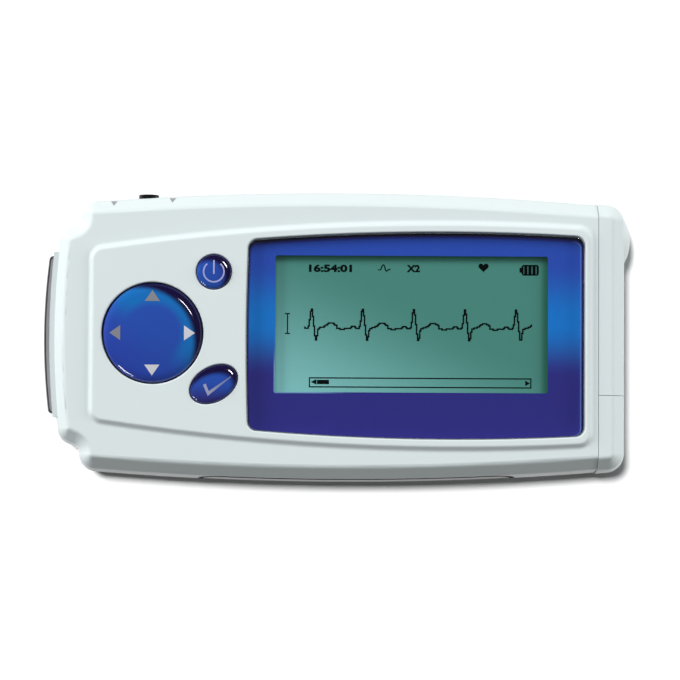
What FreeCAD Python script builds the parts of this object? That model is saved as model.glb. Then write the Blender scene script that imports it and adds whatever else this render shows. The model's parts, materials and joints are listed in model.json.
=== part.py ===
"""Handheld ECG home monitor, built piece by piece as a parametric FreeCAD document.

Frame: millimetres, +X along the length towards the battery door, +Y across the width towards
the lead socket, +Z out of the screen. The origin is the middle of the flat back face.
"""
import FreeCAD, Part
import math
import os
import Sketcher

V = FreeCAD.Vector
doc = FreeCAD.newDocument("ecg_home_monitor")
sheet = doc.addObject("Spreadsheet::Sheet", "sizes")
parts = {}
NEAR = 0.001    # lengths closer than this count as equal
PAST = 1.0      # how far a cutting tool runs past the surface that it opens


# ---------------------------------------------------------------- sizes and the sheet

class Size:
    """A length that knows both its value and the sheet formula it comes from."""

    def __init__(self, value, text):
        self.value = float(value)
        self.text = text

    def __add__(self, other):
        other = size(other)
        return Size(self.value + other.value, f"({self.text} + {other.text})")

    def __sub__(self, other):
        other = size(other)
        return Size(self.value - other.value, f"({self.text} - {other.text})")

    def __mul__(self, other):
        other = size(other)
        return Size(self.value * other.value, f"({self.text} * {other.text})")

    def __truediv__(self, other):
        other = size(other)
        return Size(self.value / other.value, f"({self.text} / {other.text})")

    def __radd__(self, other):
        return size(other) + self

    def __rsub__(self, other):
        return size(other) - self

    def __rmul__(self, other):
        return size(other) * self

    def __neg__(self):
        return Size(-self.value, f"(-{self.text})")


def size(number):
    return number if isinstance(number, Size) else Size(number, repr(float(number)))


def root(number):
    return Size(math.sqrt(number.value), f"sqrt({number.text})")


def tangent(degrees):
    return Size(math.tan(math.radians(degrees.value)), f"tan({degrees.text} * 1 deg)")


rows = []


def cell(alias, value):
    """Write one driving dimension into the sheet and return it as a Size."""
    rows.append(alias)
    sheet.set(f"A{len(rows)}", alias)
    sheet.set(f"B{len(rows)}", str(value))
    sheet.setAlias(f"B{len(rows)}", alias)
    return Size(value, f"<<sizes>>.{alias}")


# Outline of the case, seen from the front.
half_width = cell("half_width", 31.7)            # widest point of the bowed long sides
side_radius = cell("side_radius", 664.0)         # bow of the long sides
plate_reach = cell("plate_reach", 64.0)          # left end, the end electrode's crown
plate_rise = cell("plate_rise", 3.2)             # that crown, past the left face's corners
block_radius = cell("block_radius", 180.0)       # bow of the left face
lobe_step = cell("lobe_step", 4.5)               # from the left face back to the shoulders
shoulder_step = cell("shoulder_step", 4.7)       # how far each shoulder steps in
block_step = cell("block_step", 1.9)             # from there in to the left face's corner
end_x = cell("end_x", 62.8)                      # flat right end
end_length = cell("end_length", 6.5)             # end pieces, from their seam with the case
lobe_round = cell("lobe_round", 3.8)
notch_round = cell("notch_round", 1.4)
block_round = cell("block_round", 3.6)
end_round = cell("end_round", 4.2)
end_step = cell("end_step", 0.25)                # how far the end pieces stand proud of the case

# Heights and walls.
part_height = cell("part_height", 10.5)          # parting plane between the two halves
case_height = cell("case_height", 20.0)          # flat margin round the panel
panel_rise = cell("panel_rise", 0.8)
front_draft = cell("front_draft", 7.0)           # degrees
rear_draft = cell("rear_draft", 5.0)
bevel_drop = cell("bevel_drop", 3.4)             # height of the sloping band round the front face
bevel_draft = cell("bevel_draft", 36.0)
bevel_round = cell("bevel_round", 2.0)           # where the band meets the steeper sides
edge_round = cell("edge_round", 1.2)             # where it meets the front face
seam_round = cell("seam_round", 0.2)             # rims of the two halves where they meet
back_round = cell("back_round", 2.2)
wall = cell("wall", 2.0)
roof = cell("roof", 2.4)
floor = cell("floor", 2.2)
end_wall = cell("end_wall", 1.8)
lip_height = cell("lip_height", 0.8)
lip_width = cell("lip_width", 0.9)
lip_stop = cell("lip_stop", 1.0)                 # from the lip's end to the screw bosses
fit_gap = cell("fit_gap", 0.1)                   # clearance between plastic pieces that meet
bury = cell("bury", 0.4)                         # how far a boss or rib runs into its wall

# Raised panel and window.
panel_start = cell("panel_start", 2.8)           # from the shoulders' left faces
panel_stop = cell("panel_stop", 1.1)             # from the seam
panel_margin = cell("panel_margin", 6.9)         # from the widest point of the long sides
panel_middle = cell("panel_middle", 24.0)        # where the panel and the window are widest
panel_radius = cell("panel_radius", 512.0)
panel_round = cell("panel_round", 3.2)
panel_draft = cell("panel_draft", 50.0)
panel_soft = cell("panel_soft", 0.8)
panel_foot = cell("panel_foot", 1.0)             # hollow round where the panel rises
rim_round = cell("rim_round", 0.3)               # rims of the window and the key holes
window_start = cell("window_start", 7.3)         # from the middle of the power key
window_stop = cell("window_stop", 1.7)           # from the panel's edges
window_margin = cell("window_margin", 2.4)
window_round = cell("window_round", 2.2)
window_bow = cell("window_bow", 500.0)
window_gap = cell("window_gap", 0.2)
lens_thick = cell("lens_thick", 1.2)
film_thick = cell("film_thick", 0.15)
gasket_thick = cell("gasket_thick", 0.25)
view_start = cell("view_start", 5.9)             # visible part of the display, from the window's
view_stop = cell("view_stop", 8.0)               # left, right, lower and upper edges
view_below = cell("view_below", 10.15)
view_above = cell("view_above", 5.1)
view_round = cell("view_round", 0.5)
view_margin = cell("view_margin", 0.8)

# Display module and board.
glass_margin = cell("glass_margin", 1.9)
glass_thick = cell("glass_thick", 1.8)
frame_wall = cell("frame_wall", 1.2)
frame_gap = cell("frame_gap", 0.15)
frame_edge = cell("frame_edge", 0.5)             # frame left above and below the ribbon's slot
board_thick = cell("board_thick", 1.2)
board_drop = cell("board_drop", 3.6)             # from the case roof to the board's top
board_start = cell("board_start", 10.8)          # from the left face's corners
board_stop = cell("board_stop", 2.7)             # from the seam
board_margin = cell("board_margin", 10.4)        # from the widest point of the long sides
board_round = cell("board_round", 1.5)
ribbon_thick = cell("ribbon_thick", 0.2)
ribbon_width = cell("ribbon_width", 20.0)
ribbon_step = cell("ribbon_step", 1.0)           # from the frame to the ribbon's turn
connector_wide = cell("connector_wide", 2.4)
connector_tall = cell("connector_tall", 1.4)
connector_wing = cell("connector_wing", 1.0)     # past each edge of the ribbon

# Keys.
pad_start = cell("pad_start", 13.75)             # the pad's middle, from the panel's left edge
pad_y = cell("pad_y", 0.25)
pad_reach = cell("pad_reach", 10.65)             # radius of the direction pad
pad_gap = cell("pad_gap", 0.35)
pad_crown = cell("pad_crown", 1.2)               # height of its crown above the panel
pad_rim = cell("pad_rim", 0.3)                   # height of its rim above the panel
pad_round = cell("pad_round", 0.9)
pad_flange = cell("pad_flange", 1.35)
flange_thick = cell("flange_thick", 0.9)
flange_drop = cell("flange_drop", 0.95)
key_wall = cell("key_wall", 1.3)
pad_skin = cell("pad_skin", 1.7)                 # from the pad's rim down to its hollow
pad_boss = cell("pad_boss", 1.1)                 # wall of the pad's middle boss
ball_reach = cell("ball_reach", 1.5)
ball_height = cell("ball_height", 2.2)           # centre of the pivot ball above the board
neck_reach = cell("neck_reach", 0.9)
foot_reach = cell("foot_reach", 1.98)
foot_thick = cell("foot_thick", 0.4)
pivot_gap = cell("pivot_gap", 0.06)
pivot_skin = cell("pivot_skin", 0.8)
power_step = cell("power_step", 13.15)           # the small keys' middles, from the pad's middle
power_y = cell("power_y", 13.5)
power_reach = cell("power_reach", 3.7)
enter_step = cell("enter_step", 13.25)
enter_y = cell("enter_y", -10.7)
enter_long = cell("enter_long", 5.5)
enter_short = cell("enter_short", 3.65)
enter_turn = cell("enter_turn", 30.0)            # degrees, long axis from +X
key_rise = cell("key_rise", 0.75)                # crown of the small keys above the panel
key_gap = cell("key_gap", 0.15)
key_flange = cell("key_flange", 0.9)
key_bow = cell("key_bow", 24.0)
key_round = cell("key_round", 0.3)
stem_reach = cell("stem_reach", 1.6)
nub_reach = cell("nub_reach", 1.0)
dome_thick = cell("dome_thick", 0.8)
dome_foot = cell("dome_foot", 2.4)
dome_crown = cell("dome_crown", 1.1)
pad_dome_ring = cell("pad_dome_ring", 7.6)

# Electrodes and lead socket.
strip_start = cell("strip_start", 26.4)          # from the shoulders' left faces
strip_stop = cell("strip_stop", 17.8)            # from the seam
strip_low = cell("strip_low", 4.8)
strip_high = cell("strip_high", 15.8)
strip_thick = cell("strip_thick", 0.8)
strip_sink = cell("strip_sink", 0.1)             # below the surface of the side
strip_pocket = cell("strip_pocket", 3.0)
strip_gap = cell("strip_gap", 0.3)
plate_margin = cell("plate_margin", 5.6)         # from the left face's corners
plate_low = cell("plate_low", 4.6)
plate_high = cell("plate_high", 16.2)
plate_edge = cell("plate_edge", 0.43)            # thickness of the end electrode at its ends
plate_gap = cell("plate_gap", 0.1)
bezel_rise = cell("bezel_rise", 0.1)
bezel_margin = cell("bezel_margin", 0.8)
post_reach = cell("post_reach", 1.2)
post_height = cell("post_height", 8.0)
post_root = cell("post_root", 0.2)               # how far a post runs into its electrode
end_post_margin = cell("end_post_margin", 7.1)   # from the end electrode's ends
end_post_tip = cell("end_post_tip", 1.4)         # past the wall's inner face
strip_post_x = cell("strip_post_x", 22.0)        # from the finger electrode's middle
strip_post_tip = cell("strip_post_tip", 1.6)
leaf_thick = cell("leaf_thick", 0.3)
leaf_width = cell("leaf_width", 3.0)
socket_start = cell("socket_start", 12.3)        # from the panel's left edge
socket_drop = cell("socket_drop", 0.4)           # its axis, below the board's top
socket_step = cell("socket_step", 0.9)           # from the wall's inner face to its body
socket_nose = cell("socket_nose", 2.2)
socket_inset = cell("socket_inset", 0.6)         # from the case's widest line to its nose
socket_bore = cell("socket_bore", 1.28)
socket_depth = cell("socket_depth", 11.0)
socket_width = cell("socket_width", 8.4)
socket_tall = cell("socket_tall", 5.6)
socket_length = cell("socket_length", 11.5)

# Components under the board. Those near the bay keep their distance from it, and the others from
# the board's left edge.
processor_step = cell("processor_step", 16.2)
processor_y = cell("processor_y", -3.2)
memory_step = cell("memory_step", 15.2)
memory_y = cell("memory_y", 8.0)
crystal_step = cell("crystal_step", 5.7)
crystal_margin = cell("crystal_margin", 13.3)    # from the board's long edge
capacitor_step = cell("capacitor_step", 22.7)
capacitor_margin = cell("capacitor_margin", 6.8)
capacitor_pitch = cell("capacitor_pitch", 4.4)
can_start = cell("can_start", 17.0)
can_step = cell("can_step", 8.7)                 # from the lead socket's inner end
can_skin = cell("can_skin", 0.3)
beeper_start = cell("beeper_start", 10.0)
beeper_y = cell("beeper_y", -9.0)
clock_start = cell("clock_start", 18.5)
clock_margin = cell("clock_margin", 9.3)
chip_sides = {
    "processor_chip": (10.0, 10.0, 1.4),         # length, width and height
    "memory_chip": (8.0, 6.0, 1.0),
    "amplifier_chip": (6.0, 5.0, 1.3),
    "clock_crystal": (4.7, 11.0, 3.6),
    "shield_can": (16.0, 13.0, 2.6),
    "capacitor": (3.2, 5.8, 2.4),
}
drum_sides = {
    "beeper": (4.8, 4.2),                        # radius and height
    "clock_battery": (3.4, 2.1),
}
chip_cells = {name: [cell(f"{name}_{side}", value)
                     for side, value in zip(("long", "wide", "tall"), sides)]
              for name, sides in chip_sides.items()}
drum_cells = {name: [cell(f"{name}_{side}", value)
                     for side, value in zip(("reach", "tall"), sides)]
              for name, sides in drum_sides.items()}

# Battery bay and door.
cell_reach = cell("cell_reach", 5.25)            # radius of an AAA cell
cell_length = cell("cell_length", 43.3)
cell_nub = cell("cell_nub", 1.2)
cell_nub_reach = cell("cell_nub_reach", 2.6)
cell_pitch = cell("cell_pitch", 10.8)
cell_gap = cell("cell_gap", 0.25)                # between a cell and the bay's side walls
cell_lift = cell("cell_lift", 0.7)               # between a cell and the door
spring_room = cell("spring_room", 3.2)           # left of the cells
spring_reach = cell("spring_reach", 2.1)
contact_room = cell("contact_room", 0.77)        # right of the cells
contact_half = cell("contact_half", 3.15)
bay_margin = cell("bay_margin", 11.5)            # from the widest point of the long side
bay_wall = cell("bay_wall", 1.0)
bay_roof = cell("bay_roof", 0.3)
split_margin = cell("split_margin", 19.05)       # seam between the door and the fixed end piece
tongue_lap = cell("tongue_lap", 0.6)             # past the bay's left wall
tongue_side = cell("tongue_side", 0.4)           # past the bay's long walls
tongue_thick = cell("tongue_thick", 1.2)
rail_width = cell("rail_width", 1.0)
rail_thick = cell("rail_thick", 0.6)
catch_margin = cell("catch_margin", 2.73)        # from the end's upper corner
catch_length = cell("catch_length", 9.4)
catch_height = cell("catch_height", 10.75)
catch_rise = cell("catch_rise", 1.2)
peg_reach = cell("peg_reach", 1.2)
peg_margin = cell("peg_margin", 10.7)            # from the widest point of the long side
peg_offset = cell("peg_offset", 4.0)

# Fasteners and label.
case_screw_start = cell("case_screw_start", 6.0)       # from the shoulders' left faces
case_screw_stop = cell("case_screw_stop", 5.3)         # from the seam
case_screw_margin = cell("case_screw_margin", 4.9)     # from the long sides
case_boss = cell("case_boss", 2.7)
screw_reach = cell("screw_reach", 1.0)
screw_slack = cell("screw_slack", 0.15)
screw_end = cell("screw_end", 2.0)               # from the end of a case screw's hole to the roof
screw_tip = cell("screw_tip", 0.4)               # from a screw's end to the end of its hole
head_reach = cell("head_reach", 1.9)
head_thick = cell("head_thick", 1.2)
head_sink = cell("head_sink", 0.8)
drive_reach = cell("drive_reach", 1.14)
drive_half = cell("drive_half", 0.2)
drive_depth = cell("drive_depth", 0.6)
board_screw_start = cell("board_screw_start", 2.0)     # from the board's left edge
board_screw_stop = cell("board_screw_stop", 2.3)       # from the board's right edge
board_screw_margin = cell("board_screw_margin", 3.7)   # from the board's long edges
inner_screw_step = cell("inner_screw_step", 7.1)       # from the middle of the power key
inner_screw_margin = cell("inner_screw_margin", 2.5)
board_post = cell("board_post", 2.0)
label_start = cell("label_start", 13.3)          # from the shoulders' left faces
label_long = cell("label_long", 38.0)
label_wide = cell("label_wide", 24.0)
label_thick = cell("label_thick", 0.2)
label_round = cell("label_round", 1.6)


def side_y(x, inset=0.0):
    """Half-width of the bowed long side at x, moved inwards by inset."""
    radius = side_radius - inset
    return half_width - side_radius + root(radius * radius - size(x) * size(x))


def bow_y(x, apex, inset=0.0):
    """Half-height at x of the bowed panel and window edges."""
    radius = panel_radius - inset
    offset = size(x) - panel_middle
    return apex - panel_radius + root(radius * radius - offset * offset)


# Places that follow from the sizes above, seen from the front.
block_x = plate_reach - plate_rise
lobe_x = block_x - lobe_step
seam_x = end_x - end_length
shoulder_y = side_y(lobe_x) - shoulder_step
block_y = shoulder_y - block_step
panel_left = lobe_x - panel_start
panel_right = seam_x - panel_stop
panel_half = half_width - panel_margin
pad_x = pad_start - panel_left
power_x = pad_x + power_step
enter_x = pad_x + enter_step
window_left = power_x + window_start
window_right = panel_right - window_stop
window_half = panel_half - window_margin
view_left = window_left + view_start
view_right = window_right - view_stop
view_low = view_below - window_half
view_high = window_half - view_above
board_left = block_x - board_start
board_right = seam_x - board_stop
board_half = half_width - board_margin
strip_left = strip_start - lobe_x
strip_right = seam_x - strip_stop
plate_half = block_y - plate_margin
end_post_y = plate_half - end_post_margin
socket_x = socket_start - panel_left
label_left = label_start - lobe_x
case_screw_left = lobe_x - case_screw_start
case_screw_right = seam_x - case_screw_stop
case_screw_y = side_y(case_screw_left) - case_screw_margin
lip_end = case_screw_left - case_boss - lip_stop

# Heights that follow.
panel_top = case_height + panel_rise
knee_height = case_height - bevel_drop
bevel_inset = bevel_drop * tangent(bevel_draft)
roof_under = case_height - roof
lens_top = case_height
film_top = lens_top - lens_thick
gasket_top = film_top - film_thick
ledge_top = gasket_top - gasket_thick
board_top = roof_under - board_drop
board_under = board_top - board_thick
socket_height = board_top - socket_drop
cell_height = tongue_thick + cell_lift + cell_reach
bay_top = cell_height + cell_reach + fit_gap + bay_roof

# The battery bay, laid out from its right wall.
bay_draft = (part_height - floor) * tangent(rear_draft)
bay_right = seam_x - end_wall - bay_draft - fit_gap
cell_left = bay_right - bay_wall - contact_room - cell_nub - cell_length
bay_left = cell_left - spring_room - bay_wall
tongue_left = bay_left - tongue_lap
bay_half = cell_pitch / 2 + cell_reach + cell_gap + bay_wall
bay_middle = half_width - bay_margin - bay_half
bay_low = bay_middle - bay_half
bay_high = bay_middle + bay_half
tongue_half = bay_half + tongue_side
split_y = split_margin - half_width
catch_high = side_y(end_x) - catch_margin
catch_low = catch_high - catch_length
peg_y = peg_margin - half_width


# ---------------------------------------------------------------- sketches

def origin_plane(body, role):
    return next(item for item in body.Origin.OriginFeatures if item.Role == role)


def new_body(label):
    body = doc.addObject("PartDesign::Body", label)
    body.Label = label
    parts[label] = body
    return body


def new_sketch(body, role="XY_Plane", offset=0.0):
    """A sketch parallel to one of the body's own planes, offset along its normal."""
    sketch = body.newObject("Sketcher::SketchObject", f"{body.Label}_sketch")
    sketch.AttachmentSupport = (origin_plane(body, role), [""])
    sketch.MapMode = "FlatFace"
    offset = size(offset)
    sketch.AttachmentOffset = FreeCAD.Placement(V(0, 0, offset.value), FreeCAD.Rotation())
    sketch.setExpression("AttachmentOffset.Base.z", offset.text)
    return sketch


def hold(sketch, kind, *where):
    """Add a constraint whose last argument is a Size, tied to its formula."""
    value = where[-1]
    index = sketch.addConstraint(Sketcher.Constraint(kind, *where[:-1], value.value))
    sketch.setExpression(f"Constraints[{index}]", value.text)


def fix_point(sketch, element, position, x, y):
    for kind, axis, value in (("DistanceX", -2, size(x)), ("DistanceY", -1, size(y))):
        if value.value == 0:
            sketch.addConstraint(Sketcher.Constraint("PointOnObject", element, position, axis))
        else:
            hold(sketch, kind, -1, 1, element, position, value)


class Edge:
    """One side of an outline: a straight line, or an arc whose centre lies to its left."""

    def __init__(self, start, end, radius):
        self.start = start
        self.end = end
        self.radius = radius
        chord = end - start
        self.left = V(-chord.y, chord.x, 0).normalize()
        self.along = V(chord).normalize()
        if radius:
            rise = math.sqrt(radius * radius - chord.Length * chord.Length / 4)
            self.centre = (start + end) * 0.5 + self.left * math.copysign(rise, radius)

    def heading(self, point):
        if not self.radius:
            return self.along
        arm = point - self.centre
        turn = V(-arm.y, arm.x, 0).normalize()
        return turn if self.radius > 0 else turn * -1

    def moved(self, distance):
        """The side's whole line or circle, moved to its left."""
        if not self.radius:
            return None, self.start + self.left * distance, self.along
        sign = math.copysign(1, self.radius)
        return abs(self.radius) - sign * distance, self.centre, None

    def foot(self, point):
        if not self.radius:
            return self.start + self.along * (point - self.start).dot(self.along)
        return self.centre + (point - self.centre).normalize() * abs(self.radius)


def crossing(one, other, near):
    """The point nearest to near where two moved sides cross."""
    if one[0] and not other[0]:
        one, other = other, one
    radius, centre, along = other
    if not one[0] and not radius:
        base, line = one[1], one[2]
        slope = line.x * along.y - line.y * along.x
        gap = centre - base
        return base + line * ((gap.x * along.y - gap.y * along.x) / slope)
    if not one[0]:
        foot = one[1] + one[2] * (centre - one[1]).dot(one[2])
        reach = math.sqrt(radius ** 2 - (foot - centre).Length ** 2)
        choices = (foot + one[2] * reach, foot - one[2] * reach)
    else:
        gap = centre - one[1]
        along = V(gap).normalize()
        step = (one[0] ** 2 - radius ** 2 + gap.Length ** 2) / (2 * gap.Length)
        reach = math.sqrt(one[0] ** 2 - step ** 2)
        across = V(-along.y, along.x, 0) * reach
        choices = (one[1] + along * step + across, one[1] + along * step - across)
    return min(choices, key=lambda point: (point - near).Length)


def arc(centre, radius, start, end, anticlockwise):
    angles = [math.atan2(p.y - centre.y, p.x - centre.x) for p in (start, end)]
    if not anticlockwise:
        angles.reverse()
    return Part.ArcOfCircle(Part.Circle(centre, V(0, 0, 1), radius), *angles)


def outline(sketch, corners):
    """Draw a closed outline, anticlockwise, from corners (x, y, rounding, bow).

    rounding is the corner's radius or None; bow is the radius of the side that leaves the
    corner, positive where it bulges outwards, or left out where the side is straight.
    """
    count = len(corners)
    points = [V(size(c[0]).value, size(c[1]).value, 0) for c in corners]
    rounds = [size(c[2]) if c[2] else None for c in corners]
    bows = [size(c[3]) if len(c) > 3 else None for c in corners]
    sides = []
    for i in range(count):
        bow = bows[i].value if bows[i] else 0
        sides.append(Edge(points[i], points[(i + 1) % count], bow))
    arrive = list(points)
    leave = list(points)
    fillets = {}
    for i in range(count):
        if not rounds[i]:
            continue
        before, after = sides[i - 1], sides[i]
        left = before.heading(points[i]).cross(after.heading(points[i])).z > 0
        shift = rounds[i].value if left else -rounds[i].value
        centre = crossing(before.moved(shift), after.moved(shift), points[i])
        arrive[i] = before.foot(centre)
        leave[i] = after.foot(centre)
        fillets[i] = (centre, left)
    ends = []
    for i in range(count):
        start, end = leave[i], arrive[(i + 1) % count]
        if bows[i]:
            side = sides[i]
            outward = side.radius > 0
            element = sketch.addGeometry(arc(side.centre, abs(side.radius), start, end, outward))
            ends.append((element, 1, 2) if outward else (element, 2, 1))
            hold(sketch, "Radius", element, bows[i] if outward else -bows[i])
        else:
            element = sketch.addGeometry(Part.LineSegment(start, end))
            ends.append((element, 1, 2))
    for i in range(count):
        mark = sketch.addGeometry(Part.Point(points[i]), True)
        fix_point(sketch, mark, 1, corners[i][0], corners[i][1])
        before, after = ends[i - 1], ends[i]
        if not rounds[i]:
            sketch.addConstraint(Sketcher.Constraint("Coincident", mark, 1, before[0], before[2]))
            sketch.addConstraint(Sketcher.Constraint("Coincident", mark, 1, after[0], after[1]))
            continue
        centre, left = fillets[i]
        element = sketch.addGeometry(arc(centre, rounds[i].value, arrive[i], leave[i], left))
        first, last = (1, 2) if left else (2, 1)
        sketch.addConstraint(Sketcher.Constraint("PointOnObject", mark, 1, before[0]))
        sketch.addConstraint(Sketcher.Constraint("PointOnObject", mark, 1, after[0]))
        sketch.addConstraint(Sketcher.Constraint("Tangent", before[0], before[2], element, first))
        sketch.addConstraint(Sketcher.Constraint("Tangent", element, last, after[0], after[1]))
        hold(sketch, "Radius", element, rounds[i])


def rectangle(sketch, low_x, low_y, high_x, high_y, rounding=None):
    outline(sketch, [
        (low_x, low_y, rounding),
        (high_x, low_y, rounding),
        (high_x, high_y, rounding),
        (low_x, high_y, rounding),
    ])


def circle(sketch, x, y, radius):
    centre = V(size(x).value, size(y).value, 0)
    element = sketch.addGeometry(Part.Circle(centre, V(0, 0, 1), radius.value))
    fix_point(sketch, element, 3, x, y)
    hold(sketch, "Radius", element, radius)


def ellipse(sketch, x, y, long, short, turn):
    centre = V(x.value, y.value, 0)
    angle = math.radians(turn.value)
    along = V(math.cos(angle), math.sin(angle), 0)
    across = V(-along.y, along.x, 0)
    curve = Part.Ellipse(centre + along * long.value, centre + across * short.value, centre)
    element = sketch.addGeometry(curve)
    sketch.exposeInternalGeometry(element)
    fix_point(sketch, element, 3, x, y)
    hold(sketch, "Distance", element + 1, long * 2)
    hold(sketch, "Distance", element + 2, short * 2)
    index = sketch.addConstraint(Sketcher.Constraint("Angle", element + 1, angle))
    sketch.setExpression(f"Constraints[{index}]", f"{turn.text} * 1 deg")


# ---------------------------------------------------------------- features

def pad(body, sketch, length, draft=None, down=False):
    feature = body.newObject("PartDesign::Pad", f"{body.Label}_pad")
    feature.Profile = sketch
    feature.Reversed = down
    feature.setExpression("Length", size(length).text)
    if draft is not None:
        feature.setExpression("TaperAngle", f"-{draft.text}")
    doc.recompute()
    return feature


def pocket(body, sketch, depth, down=True):
    """Cut depth along the sketch's normal: against it where down is true."""
    feature = body.newObject("PartDesign::Pocket", f"{body.Label}_pocket")
    feature.Profile = sketch
    feature.Reversed = not down
    feature.setExpression("Length", size(depth).text)
    before = body.Shape.Volume
    doc.recompute()
    if feature.Shape.Volume > before - NEAR:
        raise RuntimeError(f"{feature.Label} cuts nothing")
    return feature


def round_edges(body, radius, wanted):
    """Fillet every edge of the body's last feature for which wanted(edge) is true."""
    base = body.Tip
    names = [f"Edge{i + 1}" for i, edge in enumerate(base.Shape.Edges) if wanted(edge)]
    feature = body.newObject("PartDesign::Fillet", f"{body.Label}_fillet")
    feature.Base = (base, names)
    feature.setExpression("Radius", size(radius).text)
    doc.recompute()
    return feature


def level(height, within=None):
    """A test for edges that lie flat at one height."""
    def test(edge):
        box = edge.BoundBox
        flat = abs(box.ZMin - height.value) < NEAR and abs(box.ZMax - height.value) < NEAR
        return flat and (within is None or within(edge))
    return test


def revolve(body, profile):
    """Turn a profile of (radius, height) corners about the body's own Z axis."""
    sketch = new_sketch(body, "XZ_Plane")
    outline(sketch, profile)
    feature = body.newObject("PartDesign::Revolution", f"{body.Label}_turn")
    feature.Profile = sketch
    feature.ReferenceAxis = (sketch, ["V_Axis"])
    feature.Angle = 360
    doc.recompute()
    return feature


def place(item, x=0.0, y=0.0, z=0.0):
    spot = [size(x), size(y), size(z)]
    item.Placement = FreeCAD.Placement(V(*[s.value for s in spot]), item.Placement.Rotation)
    for axis, value in zip("xyz", spot):
        item.setExpression(f"Placement.Base.{axis}", value.text)
    return item


def block(name, low, high):
    """A Part::Box between two corners given as Sizes."""
    item = doc.addObject("Part::Box", name)
    for side, start, end in zip(("Length", "Width", "Height"), low, high):
        item.setExpression(side, (size(end) - start).text)
    return place(item, *low)


def rod(name, radius, length, base, axis="z"):
    item = doc.addObject("Part::Cylinder", name)
    item.setExpression("Radius", size(radius).text)
    item.setExpression("Height", size(length).text)
    turns = {"x": (V(0, 1, 0), 90), "y": (V(1, 0, 0), -90), "z": (V(0, 0, 1), 0)}
    item.Placement = FreeCAD.Placement(V(), FreeCAD.Rotation(*turns[axis]))
    return place(item, *base)


def fuse(name, items):
    item = doc.addObject("Part::MultiFuse", name)
    item.Shapes = items
    return item


def cut(name, base, tool):
    item = doc.addObject("Part::Cut", name)
    item.Base = base
    item.Tool = tool
    return item


def common(name, items):
    item = doc.addObject("Part::MultiCommon", name)
    item.Shapes = items
    return item


def group(name, items):
    item = doc.addObject("Part::Compound", name)
    item.Links = items
    return item


def keep(label, item):
    item.Label = label
    parts[label] = item
    return item


# ---------------------------------------------------------------- the case form

def case_outline(sketch, right):
    """The left part of the silhouette, from the stepped shoulders to x = right."""
    left_y = side_y(-lobe_x)
    right_y = side_y(right)
    outline(sketch, [
        (right, -right_y, None),
        (right, right_y, None, side_radius),
        (-lobe_x, left_y, lobe_round),
        (-lobe_x, shoulder_y, notch_round),
        (-block_x, block_y, block_round, block_radius),
        (-block_x, -block_y, block_round),
        (-lobe_x, -shoulder_y, notch_round),
        (-lobe_x, -left_y, lobe_round, side_radius),
    ])


def end_outline(sketch, left):
    """The right end of the silhouette, from x = left to the flat end."""
    left_y = side_y(left) + end_step
    right_y = side_y(end_x) + end_step
    outline(sketch, [
        (left, -left_y, None, side_radius),
        (end_x, -right_y, end_round),
        (end_x, right_y, end_round, side_radius),
        (left, left_y, None),
    ])


TRIM = 8.0      # the forms run this far past the seam, and are cut back to it
BIG = 200.0     # longer than the whole object, for cuts that clear a side


def pad_top(body, height, length, draft):
    """Pad the body's flat top, which lies at one height, further up."""
    base = body.Tip
    flat = level(height)
    names = [f"Face{i + 1}" for i, face in enumerate(base.Shape.Faces) if flat(face)]
    return pad(body, (base, names), length, draft)


def shell_form(body, draw, limit, front, rear):
    """Pad the drafted outline up and down from the parting plane and round its rims."""
    if front:
        sketch = new_sketch(body, offset=part_height)
        draw(sketch, limit)
        pad(body, sketch, knee_height - part_height, draft=front_draft)
        pad_top(body, knee_height, bevel_drop, bevel_draft)
        round_edges(body, bevel_round, level(knee_height))
        round_edges(body, edge_round, level(case_height))
    if rear:
        sketch = new_sketch(body, offset=part_height)
        draw(sketch, limit)
        pad(body, sketch, part_height, draft=rear_draft, down=True)
        round_edges(body, back_round, level(size(0.0)))
    if not (front and rear):
        round_edges(body, seam_round, level(part_height))


def cut_box(body, low_x, low_y, high_x, high_y, low_z, high_z, rounding=None):
    """Cut an upright block out of the body."""
    sketch = new_sketch(body, offset=high_z)
    rectangle(sketch, low_x, low_y, high_x, high_y, rounding)
    return pocket(body, sketch, size(high_z) - low_z)


def add_box(body, low_x, low_y, high_x, high_y, low_z, high_z, rounding=None):
    sketch = new_sketch(body, offset=low_z)
    rectangle(sketch, low_x, low_y, high_x, high_y, rounding)
    return pad(body, sketch, size(high_z) - low_z)


def cavity(body, low_z, high_z, draft, down):
    """Hollow one half of the case, keeping the wall round its sides."""
    inset = wall
    left_y = side_y(-lobe_x + inset, inset)
    right_y = side_y(seam_x - end_wall, inset)
    start = part_height
    sketch = new_sketch(body, offset=start)
    outline(sketch, [
        (seam_x - end_wall, -right_y, None),
        (seam_x - end_wall, right_y, None, side_radius - inset),
        (-lobe_x + inset, left_y, lobe_round - inset / 2),
        (-lobe_x + inset, shoulder_y - inset, notch_round + inset / 2),
        (-block_x + inset, block_y - inset, block_round - inset / 2),
        (-block_x + inset, -(block_y - inset), block_round - inset / 2),
        (-lobe_x + inset, -(shoulder_y - inset), notch_round + inset / 2),
        (-lobe_x + inset, -left_y, lobe_round - inset / 2, side_radius - inset),
    ])
    feature = pocket(body, sketch, (high_z - low_z), down=down)
    feature.setExpression("TaperAngle", f"-{draft.text}")
    doc.recompute()


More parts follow.
